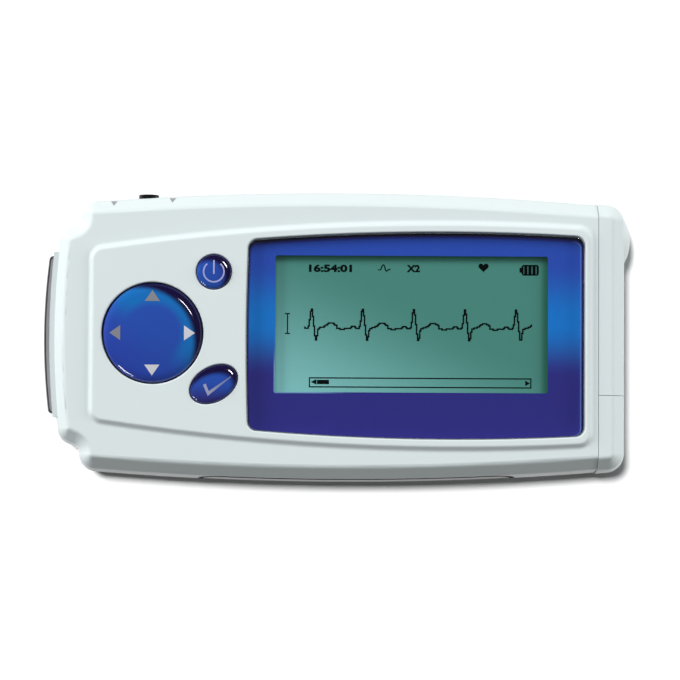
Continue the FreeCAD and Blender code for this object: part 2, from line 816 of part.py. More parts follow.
def side_band(body, low_x, high_x, near, far, low_z, high_z, sign):
    """A bowed strip of material along one long side, between two insets of its surface."""
    sketch = new_sketch(body, offset=low_z)
    if sign > 0:
        corners = [
            (low_x, side_y(low_x, far), None, -(side_radius - far)),
            (high_x, side_y(high_x, far), None),
            (high_x, side_y(high_x, near), None, side_radius - near),
            (low_x, side_y(low_x, near), None),
        ]
    else:
        corners = [
            (low_x, -side_y(low_x, near), None, side_radius - near),
            (high_x, -side_y(high_x, near), None),
            (high_x, -side_y(high_x, far), None, -(side_radius - far)),
            (low_x, -side_y(low_x, far), None),
        ]
    outline(sketch, corners)
    return sketch, size(high_z) - low_z


def panel_outline(sketch, left, right, apex, rounding, inset=0.0, bow=None):
    """The bowed outline shared by the raised panel, the window and what lies in it."""
    left_y = bow_y(left, apex, inset)
    right_y = bow_y(right, apex, inset)
    corners = [
        (left, -left_y, rounding, panel_radius - inset),
        (right, -right_y, rounding),
        (right, right_y, rounding, panel_radius - inset),
        (left, left_y, rounding, bow) if bow else (left, left_y, rounding),
    ]
    outline(sketch, corners)


def window_outline(sketch, inset=0.0):
    inset = size(inset)
    panel_outline(sketch, window_left + inset, window_right - inset, window_half,
                  window_round - inset, inset, window_bow)


def view_outline(sketch, margin=0.0):
    margin = size(margin)
    rectangle(sketch, view_left - margin, view_low - margin, view_right + margin,
              view_high + margin, view_round)


# ---------------------------------------------------------------- electrode seats

strip_middle = (strip_left + strip_right) / 2
strip_floor = half_width - strip_pocket


def finger_seat(body, low_z, high_z):
    """Thicker wall behind the finger electrode."""
    sketch, height = side_band(body, strip_left - wall, strip_right + wall, wall * 0.95,
                               strip_pocket + wall, low_z, high_z, -1)
    pad(body, sketch, height)


def finger_pocket(body):
    """The pocket with round ends that the finger electrode lies in."""
    sketch = new_sketch(body, "XZ_Plane", strip_floor)
    reach = (strip_high - strip_low) / 2 + strip_gap
    middle = (strip_high + strip_low) / 2
    ends = reach * 0.95
    rectangle(sketch, strip_left - strip_gap, middle - reach, strip_right + strip_gap,
              middle + reach, ends)
    pocket(body, sketch, BIG, down=False)


def block_x_at(y, out=0.0):
    """Distance of the bowed left face from the middle at y."""
    apex = block_x + block_radius - root(block_radius * block_radius - block_y * block_y)
    radius = block_radius + out
    return apex - block_radius + root(radius * radius - size(y) * size(y))


def end_bezel(body, low_z, high_z):
    """The thin raised rim that the end electrode sits on."""
    half = plate_half + bezel_margin
    sketch = new_sketch(body, offset=low_z)
    inner = block_x - wall / 2
    outline(sketch, [
        (-inner, half, None),
        (-block_x_at(half, bezel_rise), half, None, block_radius + bezel_rise),
        (-block_x_at(half, bezel_rise), -half, None),
        (-inner, -half, None),
    ])
    pad(body, sketch, size(high_z) - low_z)


def through_x(body, y, z, radius, depth):
    """Drill a round hole through the left wall along X."""
    sketch = new_sketch(body, "YZ_Plane", -(block_x - depth))
    circle(sketch, y, z, radius)
    pocket(body, sketch, BIG, down=True)


def boss(body, x, y, radius, low_z, high_z):
    sketch = new_sketch(body, offset=low_z)
    circle(sketch, x, y, radius)
    pad(body, sketch, size(high_z) - low_z)


def hole(body, x, y, radius, low_z, high_z):
    sketch = new_sketch(body, offset=high_z)
    circle(sketch, x, y, radius)
    pocket(body, sketch, size(high_z) - low_z)


case_screws_at = [
    (-case_screw_left, case_screw_y),
    (-case_screw_left, -case_screw_y),
    (case_screw_right, case_screw_y),
    (case_screw_right, -case_screw_y),
]
board_screw_y = board_half - board_screw_margin
board_screws_at = [
    (board_screw_start - board_left, board_screw_y),
    (board_screw_start - board_left, -board_screw_y),
    (board_right - board_screw_stop, -board_screw_y),
    (power_x + inner_screw_step, board_half - inner_screw_margin),
]
pegs_at = [(peg_y, part_height + peg_offset), (peg_y, part_height - peg_offset)]


def peg_hole(body, y, z):
    """Drill a round hole for one of the end piece's pegs through the right end wall."""
    sketch = new_sketch(body, "YZ_Plane", seam_x - end_wall * 2)
    circle(sketch, y, z, peg_reach)
    pocket(body, sketch, BIG, down=False)


def lips(body, low_z, high_z, outer, inner, pad_it):
    """The lip along the long sides that lines the two halves up, or the rebate for it."""
    runs = [(-lip_end, lip_end, 1), (-lip_end, strip_left - wall * 2, -1)]
    for left, right, sign in runs:
        slack = size(0.0) if pad_it else fit_gap
        sketch, height = side_band(body, left - slack, right + slack, outer, inner,
                                   low_z if pad_it else high_z, high_z, sign)
        if pad_it:
            pad(body, sketch, height)
        else:
            pocket(body, sketch, high_z - low_z)


def side_hole(body, x, z, radius, start_y):
    """Drill a round hole out through the lead socket's side, from y = start_y."""
    sketch = new_sketch(body, "XZ_Plane", -start_y)
    circle(sketch, x, z, radius)
    pocket(body, sketch, BIG, down=True)


# ---------------------------------------------------------------- front case

def in_panel(margin):
    """A test for edges that keep a margin from the raised panel's outline."""
    def test(edge):
        box = edge.BoundBox
        return (box.XMin > margin.value - panel_left.value - NEAR
                and box.XMax < panel_right.value - margin.value + NEAR
                and max(box.YMax, -box.YMin) < panel_half.value - margin.value + NEAR)
    return test


body = new_body("front_case")
shell_form(body, case_outline, seam_x + TRIM, front=True, rear=False)
sketch = new_sketch(body, offset=case_height)
panel_outline(sketch, -panel_left, panel_right, panel_half, panel_round)
pad(body, sketch, panel_rise, draft=panel_draft)
round_edges(body, panel_soft, level(panel_top))
round_edges(body, panel_foot, level(case_height, within=in_panel(size(0.0))))
cut_box(body, seam_x, -BIG, BIG, BIG, part_height - PAST, panel_top + PAST)
end_bezel(body, part_height, plate_high + bezel_margin)
cavity(body, part_height, roof_under, front_draft, down=False)
finger_seat(body, part_height, roof_under + bury)
finger_pocket(body)
lips(body, part_height, part_height + lip_height + fit_gap, wall - lip_width - fit_gap,
     wall + bury, pad_it=False)
for x, y in case_screws_at:
    boss(body, x, y, case_boss, part_height, roof_under + bury)
for x, y in case_screws_at:
    hole(body, x, y, screw_reach, part_height - PAST, roof_under - screw_end)
for x, y in board_screws_at:
    boss(body, x, y, board_post, board_top, roof_under + bury)
for x, y in board_screws_at:
    hole(body, x, y, screw_reach, board_top - PAST, roof_under)
sketch = new_sketch(body, offset=panel_top + PAST)
window_outline(sketch)
pocket(body, sketch, panel_top + PAST - ledge_top)
sketch = new_sketch(body, offset=panel_top)
view_outline(sketch, view_margin)
pocket(body, sketch, panel_top - roof_under + PAST)
for x, y, reach in [(pad_x, pad_y, pad_reach + pad_gap), (power_x, power_y, power_reach + key_gap)]:
    hole(body, x, y, reach, roof_under - PAST, panel_top + PAST)
sketch = new_sketch(body, offset=panel_top + PAST)
ellipse(sketch, enter_x, enter_y, enter_long + key_gap, enter_short + key_gap, enter_turn)
pocket(body, sketch, panel_top - roof_under + PAST * 2)
round_edges(body, rim_round, level(panel_top, within=in_panel(window_stop)))
side_hole(body, socket_x, socket_height, socket_nose + key_gap, board_half)
peg_hole(body, *pegs_at[0])


# ---------------------------------------------------------------- rear case

body = new_body("rear_case")
shell_form(body, case_outline, seam_x + TRIM, front=False, rear=True)
cut_box(body, seam_x, -BIG, BIG, BIG, -size(PAST), part_height + PAST)
end_bezel(body, plate_low - bezel_margin, part_height)
cavity(body, floor, part_height, rear_draft, down=True)
finger_seat(body, floor - bury, part_height)
lips(body, part_height - bury, part_height + lip_height, wall - lip_width, wall, pad_it=True)
finger_pocket(body)
for x, y in case_screws_at:
    boss(body, x, y, case_boss, floor - bury, part_height)
for x, y in case_screws_at:
    hole(body, x, y, screw_reach + screw_slack, -size(PAST), part_height + PAST)
for x, y in case_screws_at:
    hole(body, x, y, head_reach + screw_slack, -size(PAST), head_sink + head_thick)
cut_box(body, tongue_left, bay_middle - tongue_half - fit_gap, BIG,
        bay_middle + tongue_half + fit_gap, -size(PAST), tongue_thick + fit_gap)
cut_box(body, tongue_left, bay_middle - tongue_half - rail_width - fit_gap, BIG,
        bay_middle + tongue_half + rail_width + fit_gap,
        tongue_thick - rail_thick - fit_gap, tongue_thick + fit_gap)
cut_box(body, bay_left + bay_wall, bay_low + bay_wall, bay_right - bay_wall,
        bay_high - bay_wall, size(0.0), floor + PAST)
cut_box(body, label_left - fit_gap, -label_wide / 2 - fit_gap,
        label_left + label_long + fit_gap, label_wide / 2 + fit_gap,
        -size(PAST), label_thick + fit_gap, label_round)
for y in (end_post_y, -end_post_y):
    through_x(body, y, post_height, post_reach, wall * 2)
for x in (strip_middle - strip_post_x, strip_middle + strip_post_x):
    sketch = new_sketch(body, "XZ_Plane", strip_floor - wall * 2)
    circle(sketch, x, post_height, post_reach)
    pocket(body, sketch, BIG, down=False)
peg_hole(body, *pegs_at[1])


# ---------------------------------------------------------------- right end pieces

def end_form(body):
    shell_form(body, end_outline, seam_x - TRIM, front=True, rear=True)
    cut_box(body, -BIG, -BIG, seam_x + fit_gap, BIG, -size(PAST), case_height + PAST)


def end_hollow(body, low_y, high_y):
    cut_box(body, seam_x - PAST, low_y, end_x - wall - bevel_inset / 2, high_y, floor,
            case_height - roof, notch_round)


end_inner = side_y(end_x) - wall - bevel_inset
body = new_body("end_cap")
end_form(body)
cut_box(body, -BIG, split_y - fit_gap / 2, BIG, BIG, -size(PAST), case_height + PAST)
end_hollow(body, -end_inner, split_y - wall)
for y, z in pegs_at:
    sketch = new_sketch(body, "YZ_Plane", seam_x - end_wall)
    circle(sketch, y, z, peg_reach)
    pad(body, sketch, end_x - wall / 2 - (seam_x - end_wall))

body = doc.addObject("PartDesign::Body", "door_form")
end_form(body)
cut_box(body, -BIG, -BIG, BIG, split_y + fit_gap / 2, -size(PAST), case_height + PAST)
end_hollow(body, split_y + wall, end_inner)
add_box(body, tongue_left + fit_gap, bay_middle - tongue_half, end_x - wall,
        bay_middle + tongue_half, size(0.0), tongue_thick)
add_box(body, tongue_left + fit_gap, bay_middle - tongue_half - rail_width, seam_x + wall,
        bay_middle + tongue_half + rail_width, tongue_thick - rail_thick, tongue_thick)
catch_half = catch_length / 2
catch_radius = (catch_half * catch_half + catch_rise * catch_rise) / (catch_rise * 2)
ball = doc.addObject("Part::Sphere", "catch_ball")
ball.setExpression("Radius", catch_radius.text)
place(ball, end_x + catch_rise - catch_radius, catch_low + catch_half, catch_height)
catch_room = catch_half * 1.5
room = block("catch_room",
             (end_x - wall / 2, catch_low + catch_half - catch_room, catch_height - catch_room),
             (end_x + catch_rise + PAST, catch_low + catch_half + catch_room,
              catch_height + catch_room))
keep("battery_door", fuse("door_solid", [body, common("catch_bump", [ball, room])]))


# ---------------------------------------------------------------- window and display

body = new_body("window_lens")
sketch = new_sketch(body, offset=film_top)
window_outline(sketch, window_gap)
pad(body, sketch, lens_thick)

for label, low_z, thick, margin in [
    ("window_border", gasket_top, film_thick, size(0.0)),
    ("window_gasket", ledge_top, gasket_thick, view_margin),
]:
    body = new_body(label)
    sketch = new_sketch(body, offset=low_z)
    window_outline(sketch, window_gap)
    view_outline(sketch, margin)
    pad(body, sketch, thick)

glass_low = roof_under - glass_thick
body = new_body("lcd_glass")
sketch = new_sketch(body, offset=glass_low)
view_outline(sketch, glass_margin)
pad(body, sketch, glass_thick)

body = new_body("lcd_backlight")
sketch = new_sketch(body, offset=board_top)
view_outline(sketch, glass_margin)
pad(body, sketch, glass_low - board_top)

frame_inner = glass_margin + frame_gap
ribbon_x = (view_left + view_right) / 2
body = new_body("lcd_frame")
sketch = new_sketch(body, offset=board_top)
view_outline(sketch, frame_inner)
view_outline(sketch, frame_inner + frame_wall)
pad(body, sketch, roof_under - board_top)
cut_box(body, ribbon_x - ribbon_width / 2 - frame_gap, view_low - frame_inner - frame_wall - PAST,
        ribbon_x + ribbon_width / 2 + frame_gap, view_low - frame_inner + frame_edge,
        board_top + frame_edge, roof_under - frame_edge)

# The flat ribbon leaves the glass edge, turns down outside the frame and enters its connector.
ribbon_start = view_low - glass_margin
ribbon_turn = ribbon_start - frame_gap - frame_wall - ribbon_step
ribbon_high = glass_low + glass_thick / 2
ribbon_low = board_top + connector_tall / 2
body = new_body("lcd_ribbon")
sketch = new_sketch(body, "YZ_Plane", ribbon_x - ribbon_width / 2)
outline(sketch, [
    (ribbon_start, ribbon_high + ribbon_thick, None),
    (ribbon_turn - ribbon_thick, ribbon_high + ribbon_thick, ribbon_thick * 2),
    (ribbon_turn - ribbon_thick, ribbon_low, None),
    (ribbon_turn, ribbon_low, None),
    (ribbon_turn, ribbon_high, ribbon_thick),
    (ribbon_start, ribbon_high, None),
])
pad(body, sketch, ribbon_width)
keep("lcd_connector", block(
    "lcd_connector_block",
    (ribbon_x - ribbon_width / 2 - connector_wing, ribbon_turn - ribbon_thick - connector_wide / 2,
     board_top),
    (ribbon_x + ribbon_width / 2 + connector_wing, ribbon_turn + connector_wide / 4, ribbon_low),
))


# ---------------------------------------------------------------- main board

socket_face = side_y(socket_x - socket_width / 2, wall + socket_step)
socket_back = socket_face - socket_length
body = new_body("main_board")
sketch = new_sketch(body, offset=board_under)
rectangle(sketch, -board_left, -board_half, board_right, board_half, board_round)
pad(body, sketch, board_thick)
cut_box(body, socket_x - socket_width / 2, socket_back, socket_x + socket_width / 2,
        board_half + PAST, board_under - PAST, board_top + PAST)
for x, y in board_screws_at:
    hole(body, x, y, screw_reach + screw_slack, board_under - PAST, board_top + PAST)


def chip(name, kind, x, y, skin=0.0):
    """A component of one kind soldered to the underside of the board, or the room inside it."""
    long, wide, tall = chip_cells[kind]
    return block(f"{name}_block",
                 (x - long / 2 + skin, y - wide / 2 + skin, board_under - tall + skin),
                 (x + long / 2 - skin, y + wide / 2 - skin, board_under))


def drum(name, x, y):
    """A round component under the board."""
    reach, tall = drum_cells[name]
    return rod(f"{name}_drum", reach, tall, (x, y, board_under - tall))


can_x = can_start - board_left
can_y = socket_back - can_step
for name, x, y in [
    ("processor_chip", bay_left - processor_step, processor_y),
    ("memory_chip", bay_left - memory_step, memory_y),
    ("clock_crystal", bay_left - crystal_step, crystal_margin - board_half),
    ("amplifier_chip", can_x, can_y),
]:
    keep(name, chip(name, name, x, y))
can = chip("shield_can", "shield_can", can_x, can_y)
can_room = chip("shield_can_room", "shield_can", can_x, can_y, can_skin)
keep("shield_can", cut("shield_can_shell", can, can_room))
keep("beeper", drum("beeper", beeper_start - board_left, beeper_y))
keep("clock_battery", drum("clock_battery", clock_start - board_left, clock_margin - board_half))
capacitors = [chip(f"capacitor_{i}", "capacitor", bay_left - capacitor_step + capacitor_pitch * i,
                   capacitor_margin - board_half) for i in range(3)]
keep("capacitors", group("capacitor_group", capacitors))


# ---------------------------------------------------------------- keys

def dome(name, x, y):
    item = doc.addObject("Part::Cone", name)
    item.setExpression("Radius1", dome_foot.text)
    item.setExpression("Radius2", dome_crown.text)
    item.setExpression("Height", dome_thick.text)
    return place(item, x, y, board_top)


pad_spots = [
    (pad_x + pad_dome_ring, pad_y),
    (pad_x, pad_y + pad_dome_ring),
    (pad_x - pad_dome_ring, pad_y),
    (pad_x, pad_y - pad_dome_ring),
]
keep("pad_domes", group("pad_dome_group", [dome(f"pad_dome_{i}", x, y)
                                            for i, (x, y) in enumerate(pad_spots)]))
keep("power_dome", dome("power_dome_cone", power_x, power_y))
keep("enter_dome", dome("enter_dome_cone", enter_x, enter_y))

dome_top = board_top + dome_thick
ball_z = board_top + ball_height
neck_z = ball_z - root(ball_reach * ball_reach - neck_reach * neck_reach)
body = new_body("pivot_post")
revolve(body, [
    (0.0, board_top, None),
    (foot_reach, board_top, None),
    (foot_reach, board_top + foot_thick, None),
    (neck_reach, board_top + foot_thick, None),
    (neck_reach, neck_z, None, ball_reach),
    (0.0, ball_z + ball_reach, None),
])
place(body, pad_x, pad_y)

cup_inner = ball_reach + pivot_gap
cup_outer = cup_inner + pivot_skin
body = new_body("pivot_cup")
revolve(body, [
    (0.0, ball_z + cup_inner, None, -cup_inner),
    (cup_inner, ball_z, None),
    (cup_outer, ball_z, None, cup_outer),
    (0.0, ball_z + cup_outer, None),
])
place(body, pad_x, pad_y)

seat = cup_outer + pivot_gap
boss_reach = seat + pad_boss
rim_z = panel_top + pad_rim
crown_z = panel_top + pad_crown
inner_z = rim_z - pad_skin
flange_top = roof_under - flange_drop
crown_bow = (pad_reach * pad_reach / (crown_z - rim_z) + (crown_z - rim_z)) / 2
body = new_body("direction_pad")
revolve(body, [
    (0.0, ball_z + seat, None, -seat),
    (seat, ball_z, None),
    (boss_reach, ball_z, None),
    (boss_reach, inner_z, None),
    (pad_reach - key_wall, inner_z, None),
    (pad_reach - key_wall, flange_top - flange_thick, None),
    (pad_reach + pad_flange, flange_top - flange_thick, None),
    (pad_reach + pad_flange, flange_top, None),
    (pad_reach, flange_top, None),
    (pad_reach, rim_z, pad_round, crown_bow),
    (0.0, crown_z, None),
])
for x, y in [(step_x - pad_x, step_y - pad_y) for step_x, step_y in pad_spots]:
    boss(body, x, y, nub_reach, dome_top, inner_z + bury / 2)
place(body, pad_x, pad_y)

key_crown = panel_top + key_rise
key_flange_top = roof_under - fit_gap
power_rim = key_crown - key_bow + root(key_bow * key_bow - power_reach * power_reach)
body = new_body("power_button")
revolve(body, [
    (0.0, dome_top, None),
    (stem_reach, dome_top, None),
    (stem_reach, key_flange_top - flange_thick, None),
    (power_reach + key_flange, key_flange_top - flange_thick, None),
    (power_reach + key_flange, key_flange_top, None),
    (power_reach, key_flange_top, None),
    (power_reach, power_rim, key_round, key_bow),
    (0.0, key_crown, None),
])
place(body, power_x, power_y)

enter = doc.addObject("PartDesign::Body", "enter_form")
for low_z, high_z, grow in [
    (key_flange_top - flange_thick, key_flange_top, key_flange),
    (key_flange_top, key_crown, size(0.0)),
]:
    sketch = new_sketch(enter, offset=low_z)
    ellipse(sketch, enter_x, enter_y, enter_long + grow, enter_short + grow, enter_turn)
    pad(enter, sketch, high_z - low_z)
boss(enter, enter_x, enter_y, stem_reach, dome_top, key_flange_top)
ball = doc.addObject("Part::Sphere", "enter_bow")
ball.setExpression("Radius", key_bow.text)
place(ball, enter_x, enter_y, key_crown - key_bow)
keep("enter_button", common("enter_crowned", [enter, ball]))


# ---------------------------------------------------------------- lead socket and electrodes

nose_end = side_y(socket_x) - socket_inset
socket_body = block(
    "socket_body",
    (socket_x - socket_width / 2, socket_back, socket_height - socket_tall / 2),
    (socket_x + socket_width / 2, socket_face, socket_height + socket_tall / 2),
)
nose = rod("socket_nose_ring", socket_nose, nose_end - socket_face + bury,
           (socket_x, socket_face - bury, socket_height), "y")
bore = rod("socket_bore_hole", socket_bore, socket_depth,
           (socket_x, nose_end - socket_depth, socket_height), "y")
keep("lead_socket", cut("lead_socket_bored", fuse("lead_socket_solid", [socket_body, nose]), bore))

plate_back = bezel_rise + plate_gap
plate_x = block_x_at(plate_half, plate_back) + plate_edge
plate_bow = plate_reach - plate_x
plate_radius = (plate_half * plate_half + plate_bow * plate_bow) / (plate_bow * 2)
body = new_body("end_electrode")
sketch = new_sketch(body, offset=plate_low)
outline(sketch, [
    (-plate_x, plate_half, None, plate_radius),
    (-plate_x, -plate_half, None),
    (-block_x_at(plate_half, plate_back), -plate_half, None, -(block_radius + plate_back)),
    (-block_x_at(plate_half, plate_back), plate_half, None),
])
pad(body, sketch, plate_high - plate_low)
post_end = block_x - wall - end_post_tip
for y in (end_post_y, -end_post_y):
    sketch = new_sketch(body, "YZ_Plane", -post_end)
    circle(sketch, y, post_height, post_reach)
    pad(body, sketch, block_x_at(end_post_y, plate_back) + post_root - post_end, down=True)


def side_cones(name, inset):
    """Everything inside the drafted long sides from the strip's foot to its top, moved in by inset."""
    reach = side_radius - inset
    cones = []
    for part, low_z, high_z, low_reach, high_reach in [
        ("upper", part_height, strip_high, reach,
         reach - (strip_high - part_height) * tangent(front_draft)),
        ("lower", strip_low, part_height, reach - (part_height - strip_low) * tangent(rear_draft),
         reach),
    ]:
        item = doc.addObject("Part::Cone", f"{name}_{part}")
        item.setExpression("Radius1", low_reach.text)
        item.setExpression("Radius2", high_reach.text)
        item.setExpression("Height", (high_z - low_z).text)
        cones.append(place(item, 0.0, side_radius - half_width, low_z))
    return fuse(name, cones)


strip_form = doc.addObject("PartDesign::Body", "strip_form")
sketch = new_sketch(strip_form, "XZ_Plane", strip_floor)
rectangle(sketch, strip_left, strip_low, strip_right, strip_high, (strip_high - strip_low) * 0.45)
pad(strip_form, sketch, wall * 2)
strip = common("strip_solid", [
    strip_form,
    cut("strip_band", side_cones("strip_outer", strip_sink),
        side_cones("strip_inner", strip_sink + strip_thick)),
])
strip_post_end = strip_floor - wall - strip_post_tip
strip_posts = []
for i, x in enumerate((strip_middle - strip_post_x, strip_middle + strip_post_x)):
    root_y = side_y(x, strip_sink + strip_thick) + post_root - (part_height - post_height) * tangent(rear_draft)
    strip_posts.append(rod(f"strip_post_{i}", post_reach, root_y - strip_post_end,
                           (x, -root_y, post_height), "y"))
keep("finger_electrode", fuse("finger_electrode_solid", [strip, *strip_posts]))


def leaf(name, role, shift, tip, foot):
    """A bent contact strip, drawn side-on: flat under the board, then down to a post's tip."""
    form = doc.addObject("PartDesign::Body", name)
    sketch = new_sketch(form, role, shift)
    low = post_height - post_reach
    outline(sketch, [
        (tip, low, None),
        (tip + leaf_thick, low, None),
        (tip + leaf_thick, board_under - leaf_thick, None),
        (foot, board_under - leaf_thick, None),
        (foot, board_under, None),
        (tip, board_under, None),
    ])
    pad(form, sketch, leaf_width)
    return form


end_leaves = []
for i, y in enumerate((end_post_y, -end_post_y)):
    end_leaves.append(leaf(f"end_leaf_{i}", "XZ_Plane", -y - leaf_width / 2, -post_end,
                           leaf_width - board_left))
keep("end_contacts", group("end_contact_group", end_leaves))
finger_leaves = []
for i, x in enumerate((strip_middle - strip_post_x, strip_middle + strip_post_x)):
    finger_leaves.append(leaf(f"finger_leaf_{i}", "YZ_Plane", x - leaf_width / 2,
                              -strip_post_end, leaf_width - board_half))
keep("finger_contacts", group("finger_contact_group", finger_leaves))


# ---------------------------------------------------------------- battery bay

body = new_body("battery_tray")
add_box(body, bay_left, bay_low, bay_right, bay_high, floor, bay_top)
cut_box(body, bay_left + bay_wall, bay_low + bay_wall, bay_right - bay_wall,
        bay_high - bay_wall, floor - PAST, bay_top - bay_roof)

cell_spots = [(bay_middle - cell_pitch / 2, 1), (bay_middle + cell_pitch / 2, -1)]
cell_end = cell_left + cell_length + cell_nub
for i, (y, facing) in enumerate(cell_spots):
    start = cell_left if facing > 0 else cell_left + cell_nub
    can = rod(f"cell_{i}_can", cell_reach, cell_length, (start, y, cell_height), "x")
    nub_start = cell_left + cell_length if facing > 0 else cell_left
    nub = rod(f"cell_{i}_nub", cell_nub_reach, cell_nub, (nub_start, y, cell_height), "x")
    keep(f"battery_cell_{i + 1}", fuse(f"cell_{i}_fused", [can, nub]))

spring_left = bay_left + bay_wall + leaf_thick
contacts = []
for i, (y, facing) in enumerate(cell_spots):
    contacts.append(block(f"left_contact_{i}",
                          (bay_left + bay_wall, y - contact_half, cell_height - contact_half),
                          (spring_left, y + contact_half, cell_height + contact_half)))
    contacts.append(rod(f"left_spring_{i}", spring_reach, cell_left - spring_left,
                        (spring_left, y, cell_height), "x"))
contacts.append(block("right_contact",
                      (cell_end, cell_spots[0][0] - contact_half, cell_height - contact_half),
                      (bay_right - bay_wall, cell_spots[1][0] + contact_half,
                       cell_height + contact_half)))
keep("battery_contacts", group("battery_contact_group", contacts))


# ---------------------------------------------------------------- fasteners and label

def screw(name, x, y, head_low, length):
    """A cross-head screw that points up, with its thread as a plain cylinder."""
    head = rod(f"{name}_head", head_reach, head_thick, (x, y, head_low))
    shank = rod(f"{name}_shank", screw_reach, length, (x, y, head_low + head_thick))
    low = head_low - drive_half
    high = head_low + drive_depth
    slot = block(f"{name}_slot", (x - drive_reach, y - drive_half, low),
                 (x + drive_reach, y + drive_half, high))
    cross = block(f"{name}_cross", (x - drive_half, y - drive_reach, low),
                  (x + drive_half, y + drive_reach, high))
    solid = fuse(f"{name}_solid", [head, shank])
    return cut(name, solid, fuse(f"{name}_drive", [slot, cross]))


case_shank = roof_under - screw_end - screw_tip - head_sink - head_thick
keep("case_screws", group("case_screw_group", [
    screw(f"case_screw_{i}", x, y, head_sink, case_shank)
    for i, (x, y) in enumerate(case_screws_at)]))
board_shank = board_thick + roof_under - board_top - screw_tip
keep("board_screws", group("board_screw_group", [
    screw(f"board_screw_{i}", x, y, board_under - head_thick, board_shank)
    for i, (x, y) in enumerate(board_screws_at)]))

body = new_body("rating_plate")
sketch = new_sketch(body, offset=fit_gap)
rectangle(sketch, label_left, -label_wide / 2, label_left + label_long, label_wide / 2,
          label_round)
pad(body, sketch, label_thick)


# ---------------------------------------------------------------- check and write

doc.recompute()
for item in doc.Objects:
    if any(state in ("Invalid", "Error") for state in item.State):
        raise RuntimeError(f"{item.Label} is {item.State}")
for label, item in parts.items():
    shape = item.Shape
    if shape.isNull() or not shape.isValid() or not shape.Solids:
        raise RuntimeError(f"{label} has no valid solid")
os.makedirs("parts", exist_ok=True)
for label, item in parts.items():
    item.Shape.exportStep(f"parts/{label}.step")
    box = item.Shape.BoundBox
    print(f"{label:18s} {len(item.Shape.Solids)} solid(s) {item.Shape.Volume:9.1f} mm3 "
          f"x {box.XMin:6.1f} {box.XMax:6.1f} y {box.YMin:6.1f} {box.YMax:6.1f} "
          f"z {box.ZMin:5.1f} {box.ZMax:5.1f}")
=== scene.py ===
# %% [markdown]
# # A handheld heart recorder
# This lesson dresses a recorder that was modelled in CAD: a bowed white case about as long as a
# hand, with a wide window, a round direction pad, two small keys and metal finger contacts. The
# CAD nodes already hold every size and every joint. Blender adds the finishes, the rounded glossy
# keys with their printed signs, the window with its coloured border and the picture on the display.

# %% Load the frame
import json
import math

import bmesh
import bpy
import numpy as np
from mathutils import Matrix, Vector


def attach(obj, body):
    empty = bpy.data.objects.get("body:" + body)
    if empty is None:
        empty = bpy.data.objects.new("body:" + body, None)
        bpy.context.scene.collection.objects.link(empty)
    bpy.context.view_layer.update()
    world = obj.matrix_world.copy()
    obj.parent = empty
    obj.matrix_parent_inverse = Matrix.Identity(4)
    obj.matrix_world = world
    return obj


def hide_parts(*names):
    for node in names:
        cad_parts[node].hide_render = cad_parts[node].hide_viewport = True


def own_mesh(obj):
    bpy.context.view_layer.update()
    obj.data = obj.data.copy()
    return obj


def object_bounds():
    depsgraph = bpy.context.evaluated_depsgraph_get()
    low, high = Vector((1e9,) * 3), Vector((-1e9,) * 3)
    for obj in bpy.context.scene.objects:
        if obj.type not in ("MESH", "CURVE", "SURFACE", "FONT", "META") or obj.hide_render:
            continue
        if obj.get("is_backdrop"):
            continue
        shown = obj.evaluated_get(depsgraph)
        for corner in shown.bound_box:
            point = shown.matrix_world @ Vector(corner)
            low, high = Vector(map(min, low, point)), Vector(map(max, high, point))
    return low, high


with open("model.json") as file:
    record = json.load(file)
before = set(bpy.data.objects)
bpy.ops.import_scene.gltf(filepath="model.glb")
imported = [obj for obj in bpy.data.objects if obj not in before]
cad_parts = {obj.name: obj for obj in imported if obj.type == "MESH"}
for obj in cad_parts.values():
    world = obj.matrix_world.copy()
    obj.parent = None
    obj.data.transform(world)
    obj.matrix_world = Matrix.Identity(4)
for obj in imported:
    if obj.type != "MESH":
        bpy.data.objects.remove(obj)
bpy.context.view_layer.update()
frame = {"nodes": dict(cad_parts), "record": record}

# %% [markdown]
# ## Units and surfaces
# Blender works in metres, and a case like this is easier to think about in millimetres, so shapes
# are in millimetres and are scaled once, where the mesh is filled. A shape is a pair of points and
# faces. Most are a grid worked out as whole numpy arrays: the rows follow a profile and the
# columns go round it. Adding points one at a time would be slow and would hide the formula.

# %% Shapes
MM = 0.001


def quads(rows, columns, around=False):
    """Corner numbers of a grid's faces; around joins the last column to the first."""
    index = np.arange(rows * columns).reshape(rows, columns)
    if around:
        index = np.hstack([index, index[:, :1]])
    corners = [index[:-1, :-1], index[:-1, 1:], index[1:, 1:], index[1:, :-1]]
    return np.stack(corners, -1).reshape(-1, 4)


def skin(rows):
    """A closed shape from rings of points (rows, columns, 3), each ring joined round."""
    count, columns = rows.shape[:2]
    return rows.reshape(-1, 3), quads(count, columns, around=True)


def gather(shapes):
    """Several shapes as one. Their faces may have any number of corners."""
    starts = np.cumsum([0] + [len(points) for points, _ in shapes[:-1]])
    faces = [tuple(corner + start for corner in face)
             for (_, group), start in zip(shapes, starts) for face in group]
    return np.concatenate([points for points, _ in shapes]), faces


print("shape helpers ready")

# %% Meshes and pieces
DOUBLE, SLIVER = 2e-6, 1e-6    # metres: points this close are merged, and edges this short go
CRISP = math.radians(32)    # an edge that bends by more than this stays sharp


